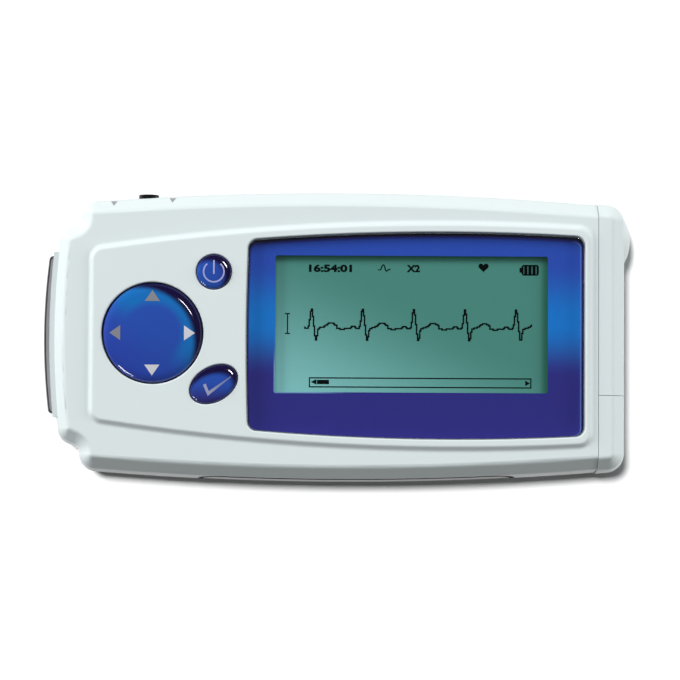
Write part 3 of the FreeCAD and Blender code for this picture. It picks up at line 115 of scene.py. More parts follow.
def fill_mesh(name, points, faces, marks=None):
    """A smooth mesh of a shape in millimetres. Doubled points are merged, so seams and poles close,
    and the faces are turned outwards. marks is a value for each point."""
    mesh = bpy.data.meshes.new(name)
    mesh.from_pydata(points * MM, [], faces)
    if marks is not None:
        kept = mesh.attributes.new("marks", "FLOAT", "POINT")
        kept.data.foreach_set("value", marks.astype(np.float32))
    work = bmesh.new()
    work.from_mesh(mesh)
    bmesh.ops.remove_doubles(work, verts=work.verts, dist=DOUBLE)
    bmesh.ops.dissolve_degenerate(work, edges=work.edges, dist=SLIVER)
    bmesh.ops.recalc_face_normals(work, faces=work.faces)
    work.to_mesh(mesh)
    work.free()
    mesh.shade_smooth()
    mesh.set_sharp_from_angle(angle=CRISP)
    return mesh


def add_piece(name, shape, finish, body, slot, *stands_for, marks=None):
    """Put a shape in the scene as a piece that rides on a body, with its finish. slot is not used."""
    mesh = fill_mesh(name, *shape, marks)
    mesh.materials.append(finish.material)
    piece = bpy.data.objects.new(name, mesh)
    bpy.context.collection.objects.link(piece)
    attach(piece, body)
    if stands_for:
        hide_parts(*stands_for)
    print(f"{name}: {len(mesh.vertices)} points, {len(mesh.polygons)} faces")
    return piece


def dress(finish, *nodes):
    """Give CAD nodes that already have the right shape a better material."""
    for node in nodes:
        mesh = frame["nodes"][node].data
        mesh.materials.clear()
        mesh.materials.append(finish.material)


print("mesh helpers ready")

# %% [markdown]
# ## Shader arithmetic
# Every finish is a node tree worked out from the object's own coordinates, so nothing slides when
# a part turns. The arithmetic is written as Python expressions: a Signal wraps one output socket,
# and adding two of them adds a Math node. Wiring each node by hand would take ten times the lines.

# %% Colours and signals
def paint(red, green, blue):
    """A colour picked on screen (0 to 255) as the linear values that a shader works with."""
    share = np.array([red, green, blue]) / 255
    linear = np.where(share <= 0.04045, share / 12.92, ((share + 0.055) / 1.055) ** 2.4)
    return (*linear.tolist(), 1.0)


def operator(operation, swapped=False):
    """The method behind one Python operator: it adds a Math node. swapped puts other first."""
    def method(self, other):
        values = (other, self) if swapped else (self, other)
        return self.finish.node("ShaderNodeMath", {"operation": operation}, dict(enumerate(values)))
    return method


class Signal:
    """One output socket of a finish. Operators add Math nodes to the same tree."""

    def __init__(self, finish, socket):
        self.finish = finish
        self.socket = socket

    __add__ = __radd__ = operator("ADD")
    __sub__ = operator("SUBTRACT")
    __rsub__ = operator("SUBTRACT", swapped=True)
    __mul__ = operator("MULTIPLY")
    __truediv__ = operator("DIVIDE")
    __pow__ = operator("POWER")

    def root(self):
        return self.finish.node("ShaderNodeMath", {"operation": "SQRT"}, {0: self})

    def ease(self, low, high):
        """0 at low and 1 at high, with a smooth step between."""
        if low > high:
            return 1 - self.ease(high, low)
        return self.finish.node("ShaderNodeMapRange", {"interpolation_type": "SMOOTHSTEP"},
                                {"Value": self, "From Min": low, "From Max": high})


print("signals ready")

# %% Finishes
class Finish:
    """A material with one Principled shader, whose sockets take numbers, colours or Signals."""

    def __init__(self, name, **sockets):
        self.material = bpy.data.materials.new(name)
        self.material.use_nodes = True
        self.tree = self.material.node_tree
        self.shader = self.tree.nodes["Principled BSDF"]
        self.set(**sockets)

    def set(self, **sockets):
        """Give the shader's sockets their values, such as base_color for Base Color."""
        for name, value in sockets.items():
            self.feed(self.shader.inputs[name.replace("_", " ").title().replace("Ior", "IOR")], value)
        return self

    def feed(self, socket, value):
        if isinstance(value, Signal):
            self.tree.links.new(value.socket, socket)
        else:
            socket.default_value = value

    def node(self, kind, settings=None, inputs=None, output=0):
        """Add one node: its settings first, then the values or links of its sockets."""
        made = self.tree.nodes.new(kind)
        for name, value in (settings or {}).items():
            setattr(made, name, value)
        for name, value in (inputs or {}).items():
            self.feed(made.inputs[name], value)
        return Signal(self, made.outputs[output])

    def place(self, middle=(0, 0, 0), turn=0.0):
        """Object coordinates in millimetres from middle, turned by turn degrees about Z."""
        where = self.node("ShaderNodeTexCoord", output="Object")
        return self.node("ShaderNodeMapping", {"vector_type": "TEXTURE"},
                         {"Vector": where, "Location": tuple(MM * m for m in middle),
                          "Rotation": (0, 0, math.radians(turn)), "Scale": (MM, MM, MM)})

    def axes(self, middle=(0, 0, 0), turn=0.0):
        """The same place as three Signals, x, y and z."""
        split = self.node("ShaderNodeSeparateXYZ", inputs={0: self.place(middle, turn)})
        return [Signal(self, out) for out in split.socket.node.outputs]

    def mix(self, share, one, other):
        """A colour that goes from one to other as share goes from 0 to 1. The node's colours are
        its sockets 6 and 7 and its output 2."""
        return self.node("ShaderNodeMix", {"data_type": "RGBA"}, {0: share, 6: one, 7: other}, 2)

    def coats(self, colour, *layers):
        """A colour with layers (share, colour) laid over it one after the other."""
        for share, layer in layers:
            colour = self.mix(share, colour, layer)
        return colour

    def noise(self, scale, detail=2.0, stretch=(1, 1, 1)):
        """Soft noise from 0 to 1 with about scale grains to a millimetre."""
        where = self.node("ShaderNodeVectorMath", {"operation": "MULTIPLY"},
                          {0: self.place(), 1: tuple(scale * s for s in stretch)})
        return self.node("ShaderNodeTexNoise", {"noise_dimensions": "3D"},
                         {"Vector": where, "Scale": 1.0, "Detail": detail})

    def bump(self, height, depth):
        """Tilt the normals as if height, from 0 to 1, stood depth millimetres proud."""
        return self.set(normal=self.node("ShaderNodeBump", inputs={
            "Height": height, "Strength": 1.0, "Distance": depth * MM}))


def moulded(name, colour, rough, grain=9.0, depth=0.003, drift=0.06, metallic=0.0):
    """A moulded plastic or a plain metal: fine grain in the bump, slow drift in colour and gloss."""
    finish = Finish(name, metallic=metallic)
    slow = finish.noise(0.12, 3.0)
    dark = tuple(channel * (1 - drift) for channel in colour[:3]) + (1.0,)
    finish.set(base_color=finish.mix(slow, dark, colour), roughness=rough + (slow - 0.5) * drift * 2)
    return finish.bump(finish.noise(grain), depth)


print("finishes ready")

# %% [markdown]
# ## The white case
# The case is moulded in a pale white with a breath of green, and its fine spark-eroded texture
# keeps the plastic from looking like glass. The four white parts have the right shape already, so
# they only get the finish. A copy of their meshes would lose the exact normals of the CAD surfaces.

# %% Case plastic
shell = moulded("shell_plastic", paint(217, 227, 228), 0.36, drift=0.015)
dress(shell, "front_case", "rear_case", "end_cap", "battery_door")
print("four white parts dressed")

# %% [markdown]
# ## What the case hides
# The board, the display's frame, the springs and the cells show only where the battery door is
# off or the case is cut open, yet each has its own finish, because the model can be taken apart.
# One function makes them all: a base colour, how rough it is and how coarse its grain.

# %% Hidden finishes
hidden = {
    "gasket_foam": (paint(40, 40, 44), 0.95, 3.0, 0.05),
    "diffuser_plastic": (paint(235, 240, 228), 0.5, 9.0, 0.003),
    "frame_metal": (paint(190, 192, 195), 0.35, 6.0, 0.004, 0.06, 1.0),
    "chip_resin": (paint(34, 34, 38), 0.6, 8.0, 0.006),
    "part_metal": (paint(205, 206, 208), 0.3, 6.0, 0.003, 0.06, 1.0),
    "ribbon_film": (paint(190, 130, 60), 0.35, 2.0, 0.004),
    "spring_steel": (paint(200, 200, 202), 0.25, 6.0, 0.003, 0.06, 1.0),
    "socket_plastic": (paint(24, 24, 27), 0.4, 8.0, 0.004),
    "pivot_plastic": (paint(228, 228, 224), 0.35, 9.0, 0.003),
    "tray_plastic": (paint(52, 53, 56), 0.5, 9.0, 0.004),
}
for slot, values in hidden.items():
    nodes = [row["node"] for row in frame["record"]["subparts"] if row["material_slot"] == slot]
    dress(moulded(slot, *values), *nodes)
print(len(hidden), "hidden finishes")

# %% Circuit board
board = Finish("board_laminate", roughness=0.35)
tracks = board.node("ShaderNodeTexBrick", {"offset": 0.37, "squash": 1.0},
                    {"Vector": board.place(turn=90), "Scale": 1.0, "Mortar Size": 0.16,
                     "Mortar Smooth": 0.4, "Brick Width": 7.0, "Row Height": 1.1}, 1)
board.set(base_color=board.mix(tracks, paint(22, 88, 50), paint(46, 124, 72)))
board.bump(tracks, 0.02)
dress(board, "main_board")
print("board dressed")

# %% Battery cells
jacket = Finish("cell_jacket", roughness=0.3)
x, _, _ = jacket.axes()
copper = x.ease(16.0, 16.2)    # the sleeve is black up to here and copper beyond
jacket.set(base_color=jacket.mix(copper, paint(38, 40, 46), paint(176, 112, 58)),
           metallic=0.2 + copper * 0.6, roughness=0.28 + jacket.noise(1.2) * 0.1)
jacket.bump(jacket.noise(0.8, 3.0, (0.2, 1, 1)), 0.01)
dress(jacket, "battery_cell_1", "battery_cell_2")
print("two cells dressed")

# %% Screws and back plate
plated = Finish("screw_steel", metallic=1.0)
grit = plated.noise(2.5, 4.0)
plated.set(base_color=plated.mix(grit, paint(150, 150, 148), paint(198, 199, 204)),
           roughness=0.24 + grit * 0.2)
plated.bump(grit, 0.008)
dress(plated, "case_screws", "board_screws")

foil = Finish("label_foil", metallic=1.0)
brushed = foil.noise(1.0, 4.0, (0.08, 9.0, 1.0))
foil.set(base_color=foil.mix(brushed, paint(188, 190, 193), paint(216, 218, 221)),
         roughness=0.3 + brushed * 0.15)
foil.bump(brushed, 0.003)
dress(foil, "rating_plate")
print("screws and plate dressed")

# %% [markdown]
# ## The metal contacts
# A finger rests on the long strip and the palm or the chest on the bowed end plate. Both are
# pressed from stainless sheet whose rolling lines run lengthwise: stretching the noise along one
# axis makes such lines, and the same noise drives the roughness, so the metal glints in streaks.

# %% Metal contacts
def stainless(name, stretch, light, sheen_height, edge):
    """Stainless sheet with rolling lines: noise that is stretched along them. Its colour is light,
    and a painted sheen makes it lighter in a soft band along the sheet at the height sheen_height.
    edge is its tint where it is seen almost edge on, which keeps it dark beside a white floor."""
    metal = Finish(name, metallic=1.0, specular_tint=(edge, edge, edge, 1))
    lines = metal.noise(1.0, 5.0, stretch)
    _, _, z = metal.axes()
    # Painted sheen: a lighter band along the sheet at sheen_height.
    painted_sheen_band = z.ease(sheen_height - 0.8, sheen_height) * z.ease(sheen_height + 0.8, sheen_height)
    dark_steel, light_steel = paint(light - 16, light - 15, light - 12), paint(light, light, light + 4)
    steel = metal.mix(metal.noise(0.25, 2.0), dark_steel, light_steel)
    metal.set(base_color=metal.mix(painted_sheen_band * 0.5, steel, paint(205, 206, 208)), roughness=0.2 + lines * 0.2)
    return metal.bump(lines, 0.003)


end_metal = stainless("end_metal", (6.0, 0.1, 6.0), 146, 14.0, 0.6)
dress(end_metal, "end_electrode")
dress(stainless("strip_metal", (0.1, 6.0, 6.0), 136, 12.6, 0.55), "finger_electrode")
print("two contacts dressed")

# %% [markdown]
# ## The keys
# The pad and the two keys are glossy blue caps with a broad rounded rim, a skirt and a flange that
# keeps them in the case. Their rings are worked out as one array: every ring is an ellipse, and
# the crown is a shallow dome. A bevelled cylinder would have a flat top with a hard edge, and the
# rim is what catches the light here.

# %% Key caps
def rim_fall(inside, width, depth):
    """How far the rounded rim lies below the crown, inside millimetres from the key's edge: a
    quarter of an ellipse, width across and depth high."""
    share = np.clip(1 - inside / width, 0, 1)
    return depth * (1 - np.sqrt(1 - share ** 2))


def cap_skin(middle, axes, turn, crown, bow, rim, below, columns=128):
    """A key: rings of semi-axes (a, b), turned by turn degrees. The crown falls by the square of
    the distance over bow, and below is the rest of the profile as rows (a, b, height)."""
    share = np.linspace(0, 1, 18)[:, None]
    inset = rim[0] * (1 - np.sin(np.linspace(0, np.pi / 2, 14)))[1:, None]
    top = np.concatenate([share * (np.array(axes) - rim[0]), np.array(axes) - inset])
    drop = np.concatenate([np.zeros(len(share)), rim_fall(inset[:, 0], *rim)])
    below = np.array(below, float)
    a, b = np.concatenate([top, below[:, :2]]).T[:, :, None]
    angle = np.linspace(0, 2 * np.pi, columns, endpoint=False)
    along, aside = a * np.cos(angle), b * np.sin(angle)
    cosine, sine = math.cos(math.radians(turn)), math.sin(math.radians(turn))
    height = crown - drop[:, None] - (along ** 2 + aside ** 2)[:len(drop)] / bow
    height = np.concatenate([height, np.repeat(below[:, 2:], columns, 1)])
    x = middle[0] + along * cosine - aside * sine
    y = middle[1] + along * sine + aside * cosine
    return skin(np.stack([x, y, height], -1))


print("key helper ready")

# %% Key sizes
PAD, POWER, ENTER = (-39.75, 0.25), (-26.6, 13.5), (-26.5, -10.7)
PAD_RADIUS, POWER_RADIUS, ENTER_AXES, ENTER_TURN = 10.74, 3.7, (5.5, 3.65), 30.0
PAD_AXES, POWER_AXES = (PAD_RADIUS,) * 2, (POWER_RADIUS,) * 2
PAD_CROWN, PAD_BOW, PAD_RIM = 22.0, 127.0, (2.2, 1.1)
CROWN, SMALL_BOW, SMALL_RIM = 21.55, 48.0, (1.3, 0.6)
FLANGE_TOP, FLANGE_FOOT, FLANGE_REACH = 17.5, 16.6, 0.9
STEM_RADIUS, STEM_TRAVEL = 1.6, 0.6
DOME_FOOT, DOME_TOP = 14.0, 14.8    # the snap domes that the keys press
BALL_HEIGHT, BALL_SEAT = 16.2, 2.42    # the ball under the pad: its middle, and its seat's radius


def stem(long, short):
    """The rest of a small key's profile: skirt, flange and the stem that presses its dome."""
    wide, deep = long + FLANGE_REACH, short + FLANGE_REACH
    return [(long, short, FLANGE_TOP), (wide, deep, FLANGE_TOP), (wide, deep, FLANGE_FOOT),
            (STEM_RADIUS, STEM_RADIUS, FLANGE_FOOT), (STEM_RADIUS, STEM_RADIUS, DOME_TOP), (0, 0, DOME_TOP)]


ball = np.linspace(0, np.pi / 2, 9)
skirt = [(PAD_RADIUS, 16.65), (12.0, 16.65), (12.0, 15.75), (9.35, 15.75), (9.35, 19.4), (3.52, 19.4),
         (3.52, BALL_HEIGHT)]
seat = [(BALL_SEAT * math.cos(angle), BALL_HEIGHT + BALL_SEAT * math.sin(angle)) for angle in ball]
pad_shape = cap_skin(PAD, PAD_AXES, 0, PAD_CROWN, PAD_BOW, PAD_RIM,
                     [(reach, reach, height) for reach, height in skirt + seat])
power_shape = cap_skin(POWER, POWER_AXES, 0, CROWN, SMALL_BOW, SMALL_RIM, stem(*POWER_AXES), 96)
enter_shape = cap_skin(ENTER, ENTER_AXES, ENTER_TURN, CROWN, SMALL_BOW, SMALL_RIM, stem(*ENTER_AXES), 96)
print("three caps")

# %% [markdown]
# ## Blue key plastic
# The caps are tinted blue right through and clear at the surface. Light and shade are painted into
# their colour: a dark crescent where the rim turns away, a bright crescent where light would gather
# under the surface, a darker side away from it and a darker rim. Each crescent is the part of a disc
# that lies outside a second, shifted disc, measured on the key itself.

# %% Key finish
def key_finish(name, middle, axes, turn, dark, bright, shaded_blue):
    """Blue plastic with painted shade and painted light, laid on the key's own plan, where the rim has
    the radius 1. dark is (direction, shift, start, full) of a dark crescent of painted shade, bright is
    (direction, start, full, share) of a bright crescent of painted light, and shaded_blue is the
    painted shade on the side away from the bright one. The rim is darkened with painted shade too."""
    finish = Finish(name, roughness=0.1, coat_weight=0.6, coat_roughness=0.03)
    along, aside, _ = finish.axes((*middle, 0), turn)
    along, aside = along / axes[0], aside / axes[1]
    radius = (along ** 2 + aside ** 2).root()
    dark_way, shift, dark_start, dark_full = dark
    way = math.radians(dark_way - turn)
    shifted = ((along + shift * math.cos(way)) ** 2 + (aside + shift * math.sin(way)) ** 2).root()
    glow_way, glow_start, glow_full, glow_share = bright
    way = math.radians(glow_way - turn)
    ahead = along * math.cos(way) + aside * math.sin(way)
    painted_glow = radius.ease(glow_start, glow_full) * (ahead / (radius + 0.01)).ease(-0.45, 0.35) * glow_share
    # Painted light and shade over the blue: a bright crescent, a darker side away from it, a dark crescent
    # where the rim turns away and a darker rim.
    finish.set(base_color=finish.coats(
        paint(36, 74, 165), (painted_glow, paint(18, 103, 176)),
        ((0 - ahead).ease(-0.1, 0.9) * 0.8, shaded_blue),
        (shifted.ease(dark_start, dark_full), paint(11, 0, 50)),
        (radius.ease(0.97, 1.0), paint(24, 36, 120))))
    return finish.bump(finish.noise(0.8), 0.001)


pad_blue = key_finish("pad_blue", PAD, PAD_AXES, 0, dark=(38, 0.33, 1.04, 1.17),
                      bright=(50, 0.5, 0.72, 1.0), shaded_blue=paint(38, 62, 160))
power_blue = key_finish("power_blue", POWER, POWER_AXES, 0, dark=(45, 0.42, 0.75, 1.1),
                        bright=(200, 0.5, 0.9, 0.1), shaded_blue=paint(34, 52, 140))
enter_blue = key_finish("enter_blue", ENTER, ENTER_AXES, ENTER_TURN, dark=(80, 0.42, 0.8, 1.12),
                        bright=(75, 0.4, 0.8, 0.0), shaded_blue=paint(45, 33, 100))
print("three blue finishes")

# %% Caps and nubs
def lathe(profile, middle=(0, 0), columns=24):
    """A round shape about an upright axis, from rows (radius, height)."""
    profile = np.array(profile, float)
    reach, height = profile[:, :1], profile[:, 1:]
    around = np.linspace(0, 2 * np.pi, columns, endpoint=False)
    return skin(np.stack([middle[0] + reach * np.cos(around), middle[1] + reach * np.sin(around),
                          np.repeat(height, columns, 1)], -1))


NUB_RING = 7.6    # from the pad's middle to each of the four nubs that press its domes
nub = [(0, DOME_TOP), (0.6, DOME_TOP), (0.9, 14.95), (1.0, 15.2), (1.0, 19.5), (0, 19.5)]
nubs = [lathe(nub, (PAD[0] + NUB_RING * math.cos(angle), PAD[1] + NUB_RING * math.sin(angle)))
        for angle in np.arange(4) * math.pi / 2]

add_piece("direction_cap", pad_shape, pad_blue, "pad", "key_plastic", "direction_pad")
add_piece("direction_nubs", gather(nubs), pad_blue, "pad", "key_plastic", "direction_pad")
add_piece("power_cap", power_shape, power_blue, "power_key", "key_plastic", "power_button")
add_piece("enter_cap", enter_shape, enter_blue, "enter_key", "key_plastic", "enter_button")

# %% [markdown]
# ## Snap domes
# Under each small key a sprung steel dome sits on the board and buckles flat as the key goes down.
# A still mesh would stick into the key's stem as the key goes down, and each dome here is a still
# mesh that rides on the case, with a mesh of its own.

# %% Snap domes
snap_profile = [(0, DOME_TOP), (1.1, DOME_TOP), (1.7, 14.66), (2.2, 14.3), (2.4, DOME_FOOT), (0, DOME_FOOT)]
snap_steel = moulded("snap_steel", *hidden["spring_steel"])
for key, middle in (("power", POWER), ("enter", ENTER)):
    dome = add_piece(f"{key}_snap_dome", lathe(snap_profile, middle, 48), snap_steel, "case",
                     "spring_steel", f"{key}_dome")
    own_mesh(dome)

# %% [markdown]
# ## Signs on the keys
# The arrows, the ring with its bar and the tick are printed in silver under a clear coat. Each is a
# very thin plate that follows the crown of its key, so it keeps its shape from any side. A picture
# projected from above would smear down the rims.

# %% Thin plates
def inlay(flat, top, thick=0.05):
    """A thin closed plate over a flat grid (rows, columns, 2). Its upper side is the height top(x, y)
    at each point, its lower side lies thick below that, and four strips close its edges."""
    x, y = flat[..., 0], flat[..., 1]
    high = np.stack([x, y, top(x, y)], -1)
    rows, columns = x.shape
    count = rows * columns
    index = np.arange(count).reshape(rows, columns)
    faces = [quads(rows, columns), quads(rows, columns) + count]
    faces += [np.stack([edge[:-1], edge[1:], edge[1:] + count, edge[:-1] + count], -1)
              for edge in (index[0], index[-1], index[:, 0], index[:, -1])]
    points = np.concatenate([high.reshape(-1, 3), (high - [0, 0, thick]).reshape(-1, 3)])
    return points, np.concatenate(faces)


print("thin plates ready")

# %% Flat strokes
PRINT_PROUD = 0.015


def between(one, other, rows=8, columns=5):
    """A flat grid between two lines of corners, both resampled to rows points for each stretch."""
    share = np.linspace(0, 1, rows)
    lines = [np.concatenate([a + (b - a) * share[:, None] for a, b in zip(line[:-1], line[1:])])
             for line in (np.array(one, float), np.array(other, float))]
    across = np.linspace(0, 1, columns)[:, None]
    return lines[0][:, None] * (1 - across) + lines[1][:, None] * across


def ribbon(path, width, columns=5):
    """A flat grid of the given width along a path: each point moves sideways by the normal."""
    ahead = np.gradient(path, axis=0)
    ahead /= np.linalg.norm(ahead, axis=1, keepdims=True)
    side = np.stack([-ahead[:, 1], ahead[:, 0]], -1)
    return path[:, None] + side[:, None] * np.linspace(-width / 2, width / 2, columns)[:, None]


def on_crown(middle, crown, bow, edge, rim):
    """The height of a sign's face: a hair above the key's crown."""
    def height(x, y):
        square = (x - middle[0]) ** 2 + (y - middle[1]) ** 2
        return crown - square / bow - rim_fall(edge - np.sqrt(square), *rim) + PRINT_PROUD
    return height


print("flat strokes ready")

# %% Arrows, power sign and tick
arrow = between([(-1.63, 6.85), (0.0, 9.2)], [(1.63, 6.85), (0.0, 9.2)], 9, 9)
pad_face = on_crown(PAD, PAD_CROWN, PAD_BOW, PAD_RADIUS, PAD_RIM)
arrows = [inlay(arrow @ np.array(Matrix.Rotation(-quarter * math.pi / 2, 2)) + PAD, pad_face)
          for quarter in range(4)]

POWER_ARC, POWER_LINE = 2.2, 0.32    # radius of the broken ring, and the width of its line
opening = np.radians(np.linspace(130, 410, 61))
broken_ring = np.stack([np.cos(opening), np.sin(opening)], -1) * POWER_ARC
bar = np.stack([np.zeros(9) + 0.02, np.linspace(-0.5, 2.5, 9)], -1)
power_face = on_crown(POWER, CROWN, SMALL_BOW, POWER_RADIUS, SMALL_RIM)
power_sign = [inlay(ribbon(line, POWER_LINE) + POWER, power_face) for line in (broken_ring, bar)]

PAST_KEY = 9.0    # an edge outside the oval key, because its tick stays clear of the rim
tick = between([(-2.24, -0.19), (-1.19, -2.55), (3.75, 1.47)], [(-1.66, 0.11), (-0.98, -1.52), (3.7, 1.73)])
tick_sign = inlay(tick + ENTER, on_crown(ENTER, CROWN, SMALL_BOW, PAST_KEY, SMALL_RIM))
print(len(arrows), "arrows, a power sign and a tick")

# %% Silver ink
def silver_print(name, middle, grey, light, way, span):
    """Silver ink with a fine grain. A painted reflection takes it from grey to light along the angle
    way, within span millimetres of the key's middle."""
    finish = Finish(name, roughness=0.35, metallic=0.2)
    x, y, _ = finish.axes((*middle, 0))
    # Painted reflection: the silver is lighter towards one side of the key.
    painted_reflection = (x * math.cos(way) + y * math.sin(way)).ease(-span, span)
    ink = finish.mix(painted_reflection, grey, light)
    finish.set(base_color=finish.mix(finish.noise(4.0) * 0.25, ink, paint(120, 120, 128)))
    return finish.bump(finish.noise(6.0), 0.002)


pad_ink = silver_print("pad_silver", PAD, paint(140, 142, 150), paint(232, 234, 242), -math.pi / 4, 2.5)
power_ink = silver_print("power_silver", POWER, paint(176, 184, 240), paint(186, 190, 236), 0, 2)
enter_ink = silver_print("enter_silver", ENTER, paint(176, 180, 208), paint(122, 130, 182), 0.5, 4)
add_piece("pad_arrows", gather(arrows), pad_ink, "pad", "key_plastic")
add_piece("power_sign", gather(power_sign), power_ink, "power_key", "key_plastic")
add_piece("enter_tick", tick_sign, enter_ink, "enter_key", "key_plastic")

# %% [markdown]
# ## The window's outline
# The window is a bowed rectangle: arcs above and below, a slightly bowed left end, a straight right
# end and round corners. The window, the film under it and the dark line round that all follow this
# loop, moved inwards by different amounts, so it is a function that always gives as many points.

# %% Window loop
def corner_place(left_side, middle, half, bow, edge, end_bow, inner):
    """Centre of a round corner that touches the long arc and the end, both moved in by inner. The
    two conditions are solved by turns, and settle within a few steps."""
    sign = -1 if left_side else 1
    reach = half - bow
    end = edge - sign * math.sqrt(end_bow ** 2 - (reach + math.sqrt(bow ** 2 - (edge - middle) ** 2)) ** 2)
    x, y = edge, half
    for _ in range(12):
        y = reach + math.sqrt((bow - inner) ** 2 - (x - middle) ** 2)
        x = end + sign * math.sqrt((end_bow - inner) ** 2 - y ** 2)
    return x, y, end


def bowed_loop(left, right, half, middle=24.0, bow=512.0, left_bow=500.0, right_bow=1e5,
               corner=2.2, inset=0.0, lift=0.0):
    """Points (n, 2) round a bowed rectangle, moved in by inset and up by lift: half of each end,
    two corner arcs and the long arc between them, mirrored for the lower half."""
    radius = corner - inset
    right_x, right_y, right_end = corner_place(False, middle, half, bow, right, right_bow, corner)
    left_x, left_y, left_end = corner_place(True, middle, half, bow, left, left_bow, corner)
    long_y = half - bow
    turns = [math.atan2(right_y, right_x - right_end), math.atan2(right_y - long_y, right_x - middle),
             math.atan2(left_y - long_y, left_x - middle), math.atan2(left_y, left_x - left_end)]

    def arc(x, y, size, start, stop, count):
        angle = np.linspace(start, stop, count)
        return np.stack([x + size * np.cos(angle), y + size * np.sin(angle)], -1)

    upper = np.concatenate([
        arc(right_end, 0, right_bow - inset, 0, turns[0], 14)[:-1],
        arc(right_x, right_y, radius, turns[0], turns[1], 12),
        arc(middle, long_y, bow - inset, turns[1], turns[2], 60)[1:-1],
        arc(left_x, left_y, radius, turns[2], turns[3], 12),
        arc(left_end, 0, left_bow - inset, turns[3], math.pi, 14)[1:]])
    lower = upper[1:-1][::-1] * [1, -1]
    return np.concatenate([upper, lower]) + [0, lift]


WINDOW = dict(left=-19.3, right=53.5, half=22.4)
VIEW = dict(left=-13.4, right=45.5, half=14.775, middle=16.0, bow=1e5, left_bow=1e5, corner=0.5, lift=2.525)
print("window loop of", len(bowed_loop(**WINDOW)), "points")

# %% [markdown]
# ## The clear window
# The window is a plate of clear plastic with a small polished bevel, which draws a bright line
# round it. Only the faces turned to the viewer reflect, and light goes straight through. A real
# refracting glass would bend the light on its way to the display and back and take far more
# samples to look calm, so the finish mixes a mirror into plain transparency by the Fresnel term.

# %% Window lens
def ringed(loops):
    """Rings of points (rows, n, 3) from pairs of a loop (n, 2) and a height."""
    return np.stack([np.column_stack([loop, np.full(len(loop), z)]) for loop, z in loops])


LENS_TOP, LENS_FOOT = 20.0, 18.85
LENS_GAP, LENS_BEVEL = 0.2, 0.3    # gap to the case, and the size of the polished bevel
window_middle = np.array([17.0, 0.0])
bevel = [(bowed_loop(**WINDOW, inset=LENS_GAP + step * LENS_BEVEL), LENS_TOP - fall * LENS_BEVEL)
         for step, fall in ((1.0, 0.0), (0.62, 0.07), (0.3, 0.28), (0.08, 0.62), (0.0, 1.0))]
inner = [window_middle + (bevel[0][0] - window_middle) * share for share in (0.0, 0.5)]
lens_rows = [(inner[0], LENS_TOP), (inner[1], LENS_TOP), *bevel,
             (bowed_loop(**WINDOW, inset=LENS_GAP), LENS_FOOT + 0.1),
             (bowed_loop(**WINDOW, inset=LENS_GAP + 0.1), LENS_FOOT),
             (inner[1], LENS_FOOT), (inner[0], LENS_FOOT)]
print("window of", len(lens_rows), "rings")

# %% Clear finish
BACK_FACING = 6    # this output of the Geometry node is 1 on faces seen from behind
WHITE = (1, 1, 1, 1)
clear = Finish("window_clear")
ripple = clear.node("ShaderNodeBump", inputs={"Height": clear.noise(0.05, 1.0), "Strength": 1.0,
                                              "Distance": 0.02 * MM})
gloss = clear.node("ShaderNodeBsdfGlossy", inputs={"Color": WHITE, "Roughness": 0.03, "Normal": ripple})
through = clear.node("ShaderNodeBsdfTransparent", inputs={"Color": WHITE})
front = 1 - clear.node("ShaderNodeNewGeometry", output=BACK_FACING)
fresnel = clear.node("ShaderNodeFresnel", inputs={"IOR": 1.33}) * front
mixed = clear.node("ShaderNodeMixShader", inputs={0: fresnel, 1: through, 2: gloss})
clear.feed(clear.tree.nodes["Material Output"].inputs["Surface"], mixed)
add_piece("clear_window", skin(ringed(lens_rows)), clear, "case", "window_clear", "window_lens")

# %% [markdown]
# ## The border film
# Under the window lies a film printed in blue that frames the display: lighter in the middle of
# its height and violet below. Painted shade darkens it to almost black in a line round its edge,
# wider at the top, with violet just inside, and painted highlights lie along its right end and on
# the lower left of the display's cut edge. A value kept at each point of the mesh says which of its
# rings it lies on, so the painted edge follows the bowed outline exactly.

# %% Border film
FILM_TOP, FILM_FOOT, CUT_EDGE = 18.78, 18.66, 0.35
cut_loop = {**VIEW, "left": VIEW["left"] - CUT_EDGE, "right": VIEW["right"] + CUT_EDGE,
            "half": VIEW["half"] + CUT_EDGE}
edge_loops = [
    (bowed_loop(**WINDOW, inset=0.25), 0.0),
    # Rings 1 and 2 are moved down, so the painted shade round the edge is wider at the top.
    (bowed_loop(**WINDOW, inset=0.60) + [-0.10, -0.34], 1.0),
    (bowed_loop(**WINDOW, inset=0.98) + [-0.14, -0.52], 2.0),
    (bowed_loop(**cut_loop), 3.0),
    (bowed_loop(**VIEW), 4.0),
]
outer_loop, inner_loop = edge_loops[0][0], edge_loops[-1][0]
film_rows = [(loop, FILM_TOP) for loop, _ in edge_loops]
film_rows += [(inner_loop, FILM_FOOT), (outer_loop, FILM_FOOT), (outer_loop, FILM_TOP)]
ring_marks = [mark for _, mark in edge_loops] + [4.0, 0.0, 0.0]
print("film of", len(film_rows), "rings")

# %% Film print
film = Finish("border_film", roughness=0.22, coat_weight=0.4)
x, y, _ = film.axes()
mark = film.node("ShaderNodeAttribute", {"attribute_name": "marks"}, output=2)
tall = film.node("ShaderNodeMapRange", inputs={"Value": y, "From Min": -WINDOW["half"],
                                               "From Max": WINDOW["half"]})
# Painted highlight: a light line along the right end, where the lens bevel would catch light.
painted_bevel_highlight = mark.ease(1.0, 1.45) * mark.ease(1.95, 1.5) * x.ease(50.0, 52.5)
